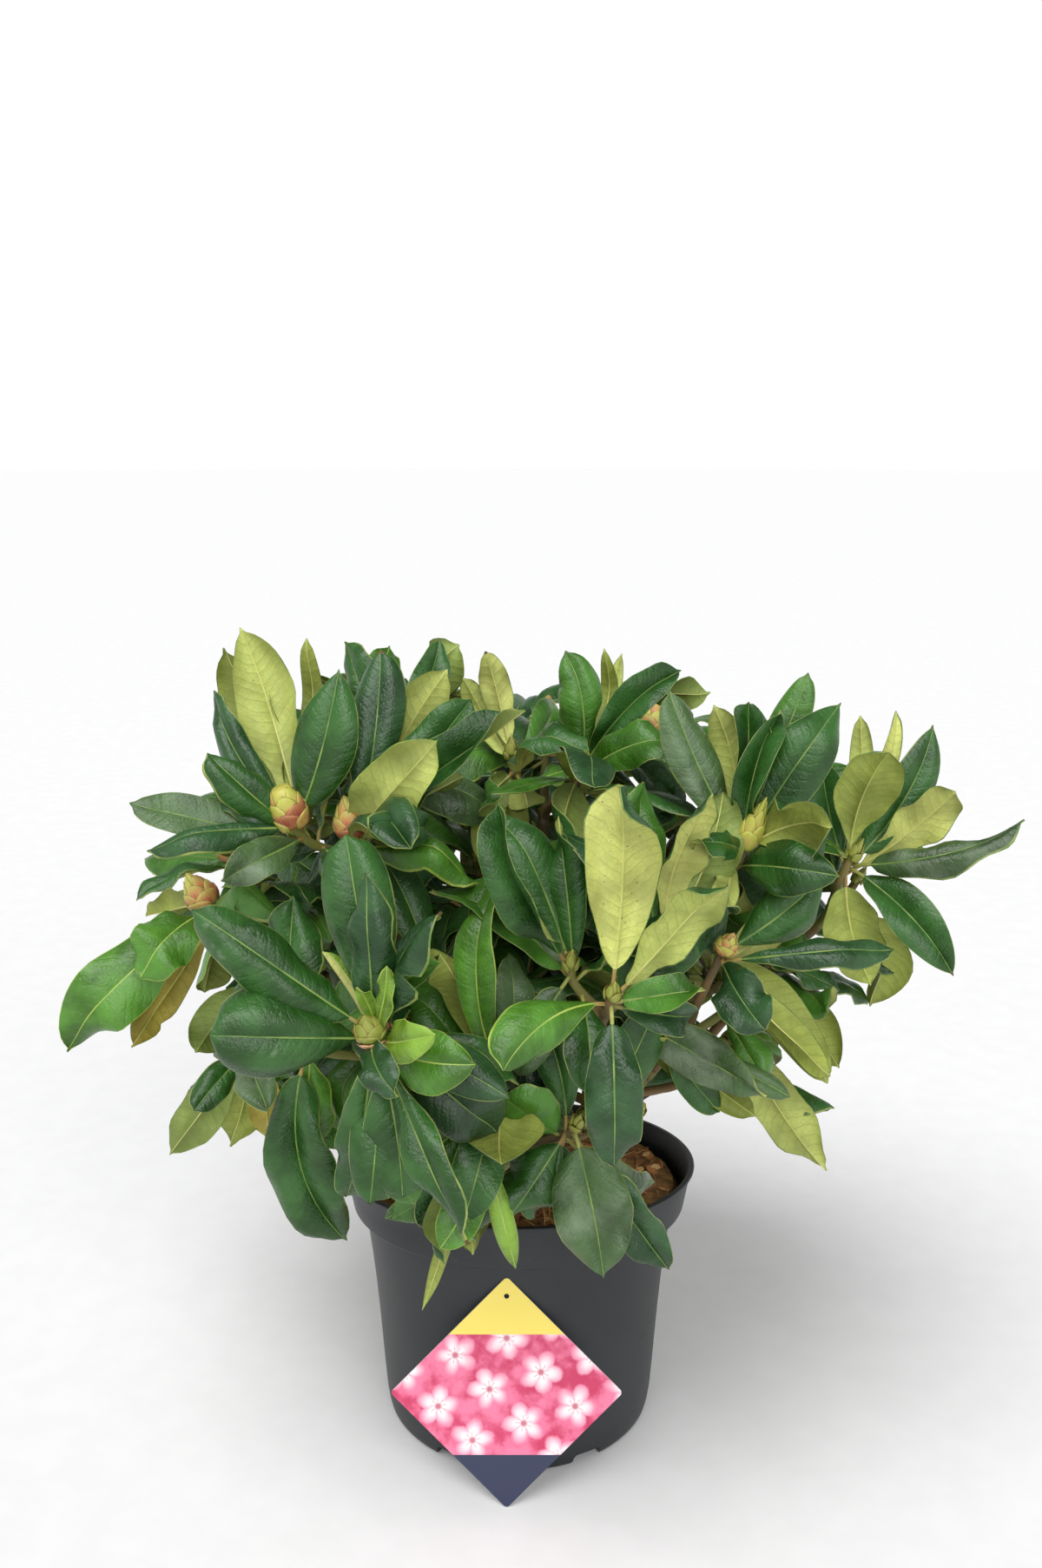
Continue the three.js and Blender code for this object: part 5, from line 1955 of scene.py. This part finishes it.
def pot_profile():
    """Radii and heights from under the pad, out over the feet, up the wall to the lip, and down
    the inside to the base plate."""
    foot = POT_FOOT_HEIGHT
    base = POT_BASE_RADIUS
    band = POT_BAND_RADIUS
    mouth = POT_BAND_RADIUS - POT_WALL
    lip = POT_HEIGHT - POT_LIP_HEIGHT
    plate = POT_FOOT_HEIGHT + POT_WALL
    return [
        (0, 0), *arc((POT_PAD_RADIUS - 1.5, 1.5), 1.5, -90, 0, 4),
        (POT_PAD_RADIUS, foot - 1), (POT_PAD_RADIUS + 1, foot), (base - 10, foot),
        (base - 9, foot - 1), (base - 9, 1), (base - 8, 0), (base - 3.4, 0), (base - 1.2, 0.9),
        (base + 0.8, 3.4), (pot_radius(8) - 0.3, 8),
        *[(pot_radius(h), h) for h in WALL_LEVELS],
        (pot_radius(178), 178), (pot_radius(180.4), 180.2),
        *arc((band - 2.2, 184), 2.2, -62, 0, 5),
        (band + 0.3, 198), (band + 0.6, lip - 1.6), (band + 1.3, lip - 0.8),
        *arc((POT_LIP_RADIUS - 1.5, POT_HEIGHT - 1.5), 1.5, -75, 90, 9),
        (mouth + 0.8, POT_HEIGHT), (mouth, POT_HEIGHT - 1), (mouth, COMPOST_TOP),
        (pot_radius(176) - POT_WALL, 180),
        *[(pot_radius(h) - POT_WALL, h) for h in reversed(WALL_LEVELS)],
        (pot_radius(plate) - POT_WALL, plate), (0, plate),
    ]


def notch_cutter(turn):
    """The arch between two feet, with rounded upper corners."""
    half = POT_NOTCH_WIDTH / 2
    radius = NOTCH_CORNER
    top = POT_FOOT_HEIGHT - 0.6
    outline = [(-half - NOTCH_SPLAY, -4), *arc((-half + radius, top - radius), radius, 180, 90, 6),
               *arc((half - radius, top - radius), radius, 90, 0, 6), (half + NOTCH_SPLAY, -4)]
    points = []
    for y in (-POT_BASE_RADIUS - 15, -POT_BASE_RADIUS + 25):
        points += [turned(np.array([x, y, z]), UP, turn) for x, z in outline]
    return np.array(points), ring_faces(2, len(outline))


def dress_pot():
    finish = pot_finish()
    shell = Build("pot_shell")
    points, faces = lathe(pot_profile(), POT_SIDES)
    shell.add(squeezed(points), faces, finish)
    pot = shell.piece("pot_plastic", ["pot"])
    notches = Build("pot_notches")
    for i in range(POT_FEET):
        notches.add(*notch_cutter((i + 0.5) / POT_FEET * 2 * math.pi), finish)
    cutter = added("pot_notches", notches.mesh())
    cut = pot.modifiers.new("notches", "BOOLEAN")
    cut.operation = "DIFFERENCE"
    cut.object = cutter
    cut.solver = "EXACT"
    apply_modifiers(pot)
    bpy.data.objects.remove(cutter)
    pot.data.polygons.foreach_set("use_smooth", [True] * len(pot.data.polygons))
    pot.data.set_sharp_from_angle(angle=math.radians(SHARP_ANGLE))


# ------------------------------------------------------------------ compost and bark chips

BED_REACH = POT_BAND_RADIUS - POT_WALL - COMPOST_CLEARANCE
BED_RINGS = 34
BED_SIDES = 96
BED_EDGE = 9
BED_WALL_LEVELS = (POT_FOOT_HEIGHT + POT_WALL + 1, 60, 120, 172, 179)
CHIPS = 460
CHIP_REACH = BED_REACH - 9
CHIP_CORNERS = 7
CHIP_LEVELS = ((-0.5, 0.82), (-0.15, 1.0), (0.35, 0.96), (0.5, 0.72))
FIBRES = 620
FIBRE_REACH = BED_REACH - 14
FIBRE_DEPTH = 0.92  # of their oval, for its width
FIBRE_RADII = (0.45, 0.55, 0.5, 0.45, 0.35, 0.2)


def bed_height(x, y):
    lumps = 3.2 * noise.fractal(Vector((x * 0.035, y * 0.035, 3)), 0.8, 2.1, 4)
    return COMPOST_TOP + BED_RISE + lumps


def compost_bed():
    """Rings up along the pot's wall, and then inwards over the lumpy top."""
    angles = np.arange(BED_SIDES) * 2 * math.pi / BED_SIDES
    ways = [(math.cos(a), math.sin(a)) for a in angles]
    points = []
    for height in BED_WALL_LEVELS:
        radius = pot_radius(height) - POT_WALL - COMPOST_CLEARANCE
        points += [(radius * x, radius * y, height) for x, y in ways]
    for ring in range(BED_RINGS, 0, -1):
        radius = BED_REACH * ring / BED_RINGS
        edge = smooth(BED_REACH - radius, 0, BED_EDGE)
        for x, y in ways:
            rise = bed_height(radius * x, radius * y) - COMPOST_TOP
            points.append((radius * x, radius * y, COMPOST_TOP + rise * edge))
    rings = len(BED_WALL_LEVELS) + BED_RINGS
    return squeezed(np.array(points)), ring_faces(rings, BED_SIDES)


def scattered(reach, draw):
    """A chance place in a circle."""
    spread = reach * math.sqrt(draw())
    turn = 2 * math.pi * draw()
    return spread * math.cos(turn), spread * math.sin(turn)


def dress_compost():
    """A lumpy bed of compost, with bark chips and fibres lying on it."""
    build = Build("compost_bed")
    soil = crumb_finish("compost_dark", tone(116, 84, 52), tone(168, 126, 76), 90)
    browns = [
        crumb_finish("bark_chip_red", tone(158, 100, 60), tone(200, 142, 86)),
        crumb_finish("bark_chip_brown", tone(128, 88, 54), tone(168, 122, 76)),
        crumb_finish("bark_chip_tan", tone(206, 158, 104), tone(230, 188, 132)),
    ]
    build.add(*compost_bed(), soil)
    draw = seeded(CHIP_SEED)
    squeeze = squeeze_at(COMPOST_TOP)
    for _ in range(CHIPS):
        x, y = scattered(CHIP_REACH, draw)
        x, y = x * (1 + squeeze), y * (1 - squeeze)
        size = 3.5 + 11 * draw() ** 2
        centre = np.array([x, y, bed_height(x, y) + 0.3 + size * 0.1 * draw()])
        add_chip(build, centre, size, browns[int(draw() * 2.6) % 3], draw)
    for _ in range(FIBRES):
        x, y = scattered(FIBRE_REACH, draw)
        y *= FIBRE_DEPTH
        foot = np.array([x, y, bed_height(x, y) + 1.2])
        add_fibre(build, foot, browns[int(draw() * 3)], draw)
    build.piece("compost", ["compost"], smooth_shaded=False)


def add_chip(build, centre, size, finish, draw):
    """A flake of bark: a slab with a broken outline, lying at a chance slant."""
    tilt = turned(UP, unit(np.array([draw() - 0.5, draw() - 0.5, 0.001])),
                  math.radians(70 * draw() ** 1.6))
    long_way = across(np.array([draw() - 0.5, draw() - 0.5, 0.3 * draw()]), tilt)
    wide_way = np.cross(tilt, long_way)
    thick = 0.9 + 1.5 * draw()
    slim = 0.4 + 0.35 * draw()
    outline = [(size * (0.75 + 0.4 * draw()), 2 * math.pi * (i + 0.4 * draw()) / CHIP_CORNERS)
               for i in range(CHIP_CORNERS)]
    points = []
    for level, shrink in CHIP_LEVELS:
        for reach, angle in outline:
            offset = (long_way * math.cos(angle) + wide_way * math.sin(angle) * slim) * reach
            points.append(centre + offset * shrink * 0.6 + tilt * thick * (level + 0.2 * draw()))
    build.add(np.array(points), ring_faces(len(CHIP_LEVELS), CHIP_CORNERS), finish)


def add_fibre(build, foot, finish, draw):
    way = unit(np.array([draw() - 0.5, draw() - 0.5, 0.25 * (draw() - 0.3)]))
    bend = np.array([draw() - 0.5, draw() - 0.5, 0.3 * draw()]) * 8
    length = 9 + 17 * draw()
    curve = Curve(foot, foot + way * length * 0.5 + bend, foot + way * length)
    build.add(*tube(curve.track(len(FIBRE_RADII) - 1), FIBRE_RADII, 4), finish)


# ------------------------------------------------------------------ the label card


def card_loops():
    """The card's outline, counterclockwise, and its hole, clockwise, so that all rims face out."""
    half = CARD_SIDE / 2
    inset = half - CARD_CORNER
    outline = []
    for x, y, start in ((1, -1, -90), (1, 1, 0), (-1, 1, 90), (-1, -1, 180)):
        outline += arc((x * inset, y * inset), CARD_CORNER, start, start + 90, 7)
    hole_at = half - CARD_HOLE_DROP / math.sqrt(2)
    hole = arc((hole_at, hole_at), CARD_HOLE / 2, 360, 0, 25)[:-1]
    return outline, hole


def filled(loops):
    """The points of a flat sheet with an outline and holes, and its faces, seen from above."""
    flat = bmesh.new()
    edges = []
    for loop in loops:
        corners = [flat.verts.new((x, y, 0)) for x, y in loop]
        edges += [flat.edges.new((a, b)) for a, b in zip(corners, corners[1:] + corners[:1])]
    bmesh.ops.triangle_fill(flat, edges=edges, use_beauty=True, use_dissolve=True,
                            normal=(0, 0, 1))
    bmesh.ops.recalc_face_normals(flat, faces=flat.faces)
    flat.faces.ensure_lookup_table()
    if flat.faces[0].normal.z < 0:
        bmesh.ops.reverse_faces(flat, faces=flat.faces)
    flat.verts.index_update()
    points = np.array([vert.co for vert in flat.verts])
    faces = [tuple(vert.index for vert in face.verts) for face in flat.faces]
    flat.free()
    return points, faces


def leant(points):
    """The card's points once it stands on a corner and leans back on the pot's wall."""
    drop = CARD_SIDE / 2 * math.sqrt(2) - CARD_CORNER * (math.sqrt(2) - 1)
    height = 2 * drop
    wall_y = -math.sqrt(pot_radius(height) ** 2 - CARD_X ** 2) * (1 - squeeze_at(height))
    lean = math.asin((wall_y - CARD_GAP - CARD_FOOT_Y) / height)
    turn = math.radians(45)
    x = points[:, 0] * math.cos(turn) - points[:, 1] * math.sin(turn)
    up = points[:, 0] * math.sin(turn) + points[:, 1] * math.cos(turn) + drop
    out = points[:, 2]
    y = CARD_FOOT_Y + up * math.sin(lean) - out * math.cos(lean)
    z = up * math.cos(lean) + out * math.sin(lean)
    return np.stack([x + CARD_X, y, z], axis=1)


def dress_card():
    """A square card with a print on its face and a small hole near its upper corner."""
    loops = card_loops()
    sheet, front = filled(loops)
    count = len(sheet)
    back = [tuple(i + count for i in reversed(face)) for face in front]
    rims = []
    first = 0
    for loop in loops:
        for i in range(len(loop)):
            a, b = first + i, first + (i + 1) % len(loop)
            rims.append((a, count + a, count + b, b))
        first += len(loop)
    points = leant(np.concatenate([sheet + (0, 0, CARD_THICKNESS), sheet]))
    spots = np.concatenate([sheet[:, :2], sheet[:, :2]]) / CARD_SIDE + 0.5
    finishes = [card_finish()] * len(front) + [card_back_finish()] * len(back + rims)
    build = Build("label_card_print")
    build.add(points, front + back + rims, finishes, spots)
    build.piece("card", ["label_card"], smooth_shaded=False)


# ------------------------------------------------------------------ floor, lights and camera

# The floor's size and height are in metres.
FLOOR_RADIUS = 40
FLOOR_HEIGHT = -0.0006
FLOOR_SIDES = 64

# Broad soft lamps, each by the way it lies from the plant, its width in degrees and strength.
LAMPS = (
    ("softbox_overhead", (-0.25, -0.45, 1.0), 44, 2.4),
    ("softbox_front", (0.35, -1.2, 0.75), 36, 1.15),
)


def add_floor():
    angles = np.arange(FLOOR_SIDES) * 2 * math.pi / FLOOR_SIDES
    ring = [(FLOOR_RADIUS * math.cos(a), FLOOR_RADIUS * math.sin(a), FLOOR_HEIGHT) for a in angles]
    mesh = bpy.data.meshes.new("floor")
    mesh.from_pydata(ring, [], [tuple(range(FLOOR_SIDES))])
    mesh.materials.append(floor_finish())
    added("floor", mesh)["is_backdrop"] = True


def add_sky():
    """White light from all round, dimmer overhead."""
    world = bpy.data.worlds.new("studio_sky")
    bpy.context.scene.world = world
    sky = Finish("studio_sky", world)
    _, _, height = sky.parts(sky.node("ShaderNodeTexCoord").out("Generated"))
    shade = sky.mix(height.rising(0.25, 0.55), (1.0, 1.0, 1.0, 1), (0.18, 0.18, 0.19, 1))
    light = sky.node("ShaderNodeBackground", None, {"Color": shade})
    sky.node("ShaderNodeOutputWorld", None, {"Surface": light})


def add_lamps():
    for name, place, width, strength in LAMPS:
        sun = bpy.data.lights.new(name, "SUN")
        sun.angle = math.radians(width)
        sun.energy = strength
        lamp = added(name, sun)
        lamp.rotation_euler = (-Vector(place)).to_track_quat("-Z", "Y").to_euler()


def add_camera():
    lens = bpy.data.cameras.new("camera")
    lens.lens = CAMERA_LENS
    lens.sensor_width = 36
    lens.clip_end = 200
    camera = added("camera", lens)
    camera.location = EYE * MM
    camera.rotation_euler = (math.radians(CAMERA_PITCH), 0, 0)
    bpy.context.scene.camera = camera
    bpy.context.scene.view_settings.view_transform = "Standard"


# ------------------------------------------------------------------ the whole plant

add_floor()
add_sky()
add_lamps()
add_camera()
masses, trunk_curve = grow()
dress_leaves(masses, Palette())
dress_twigs(masses)
dress_buds(masses)
dress_bark(masses, trunk_curve)
dress_pot()
dress_compost()
dress_card()

visual_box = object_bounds()
boxes = {"cad": cad_box, "visual": visual_box}
({name: [[float(c) for c in corner] for corner in box]
           for name, box in boxes.items()})
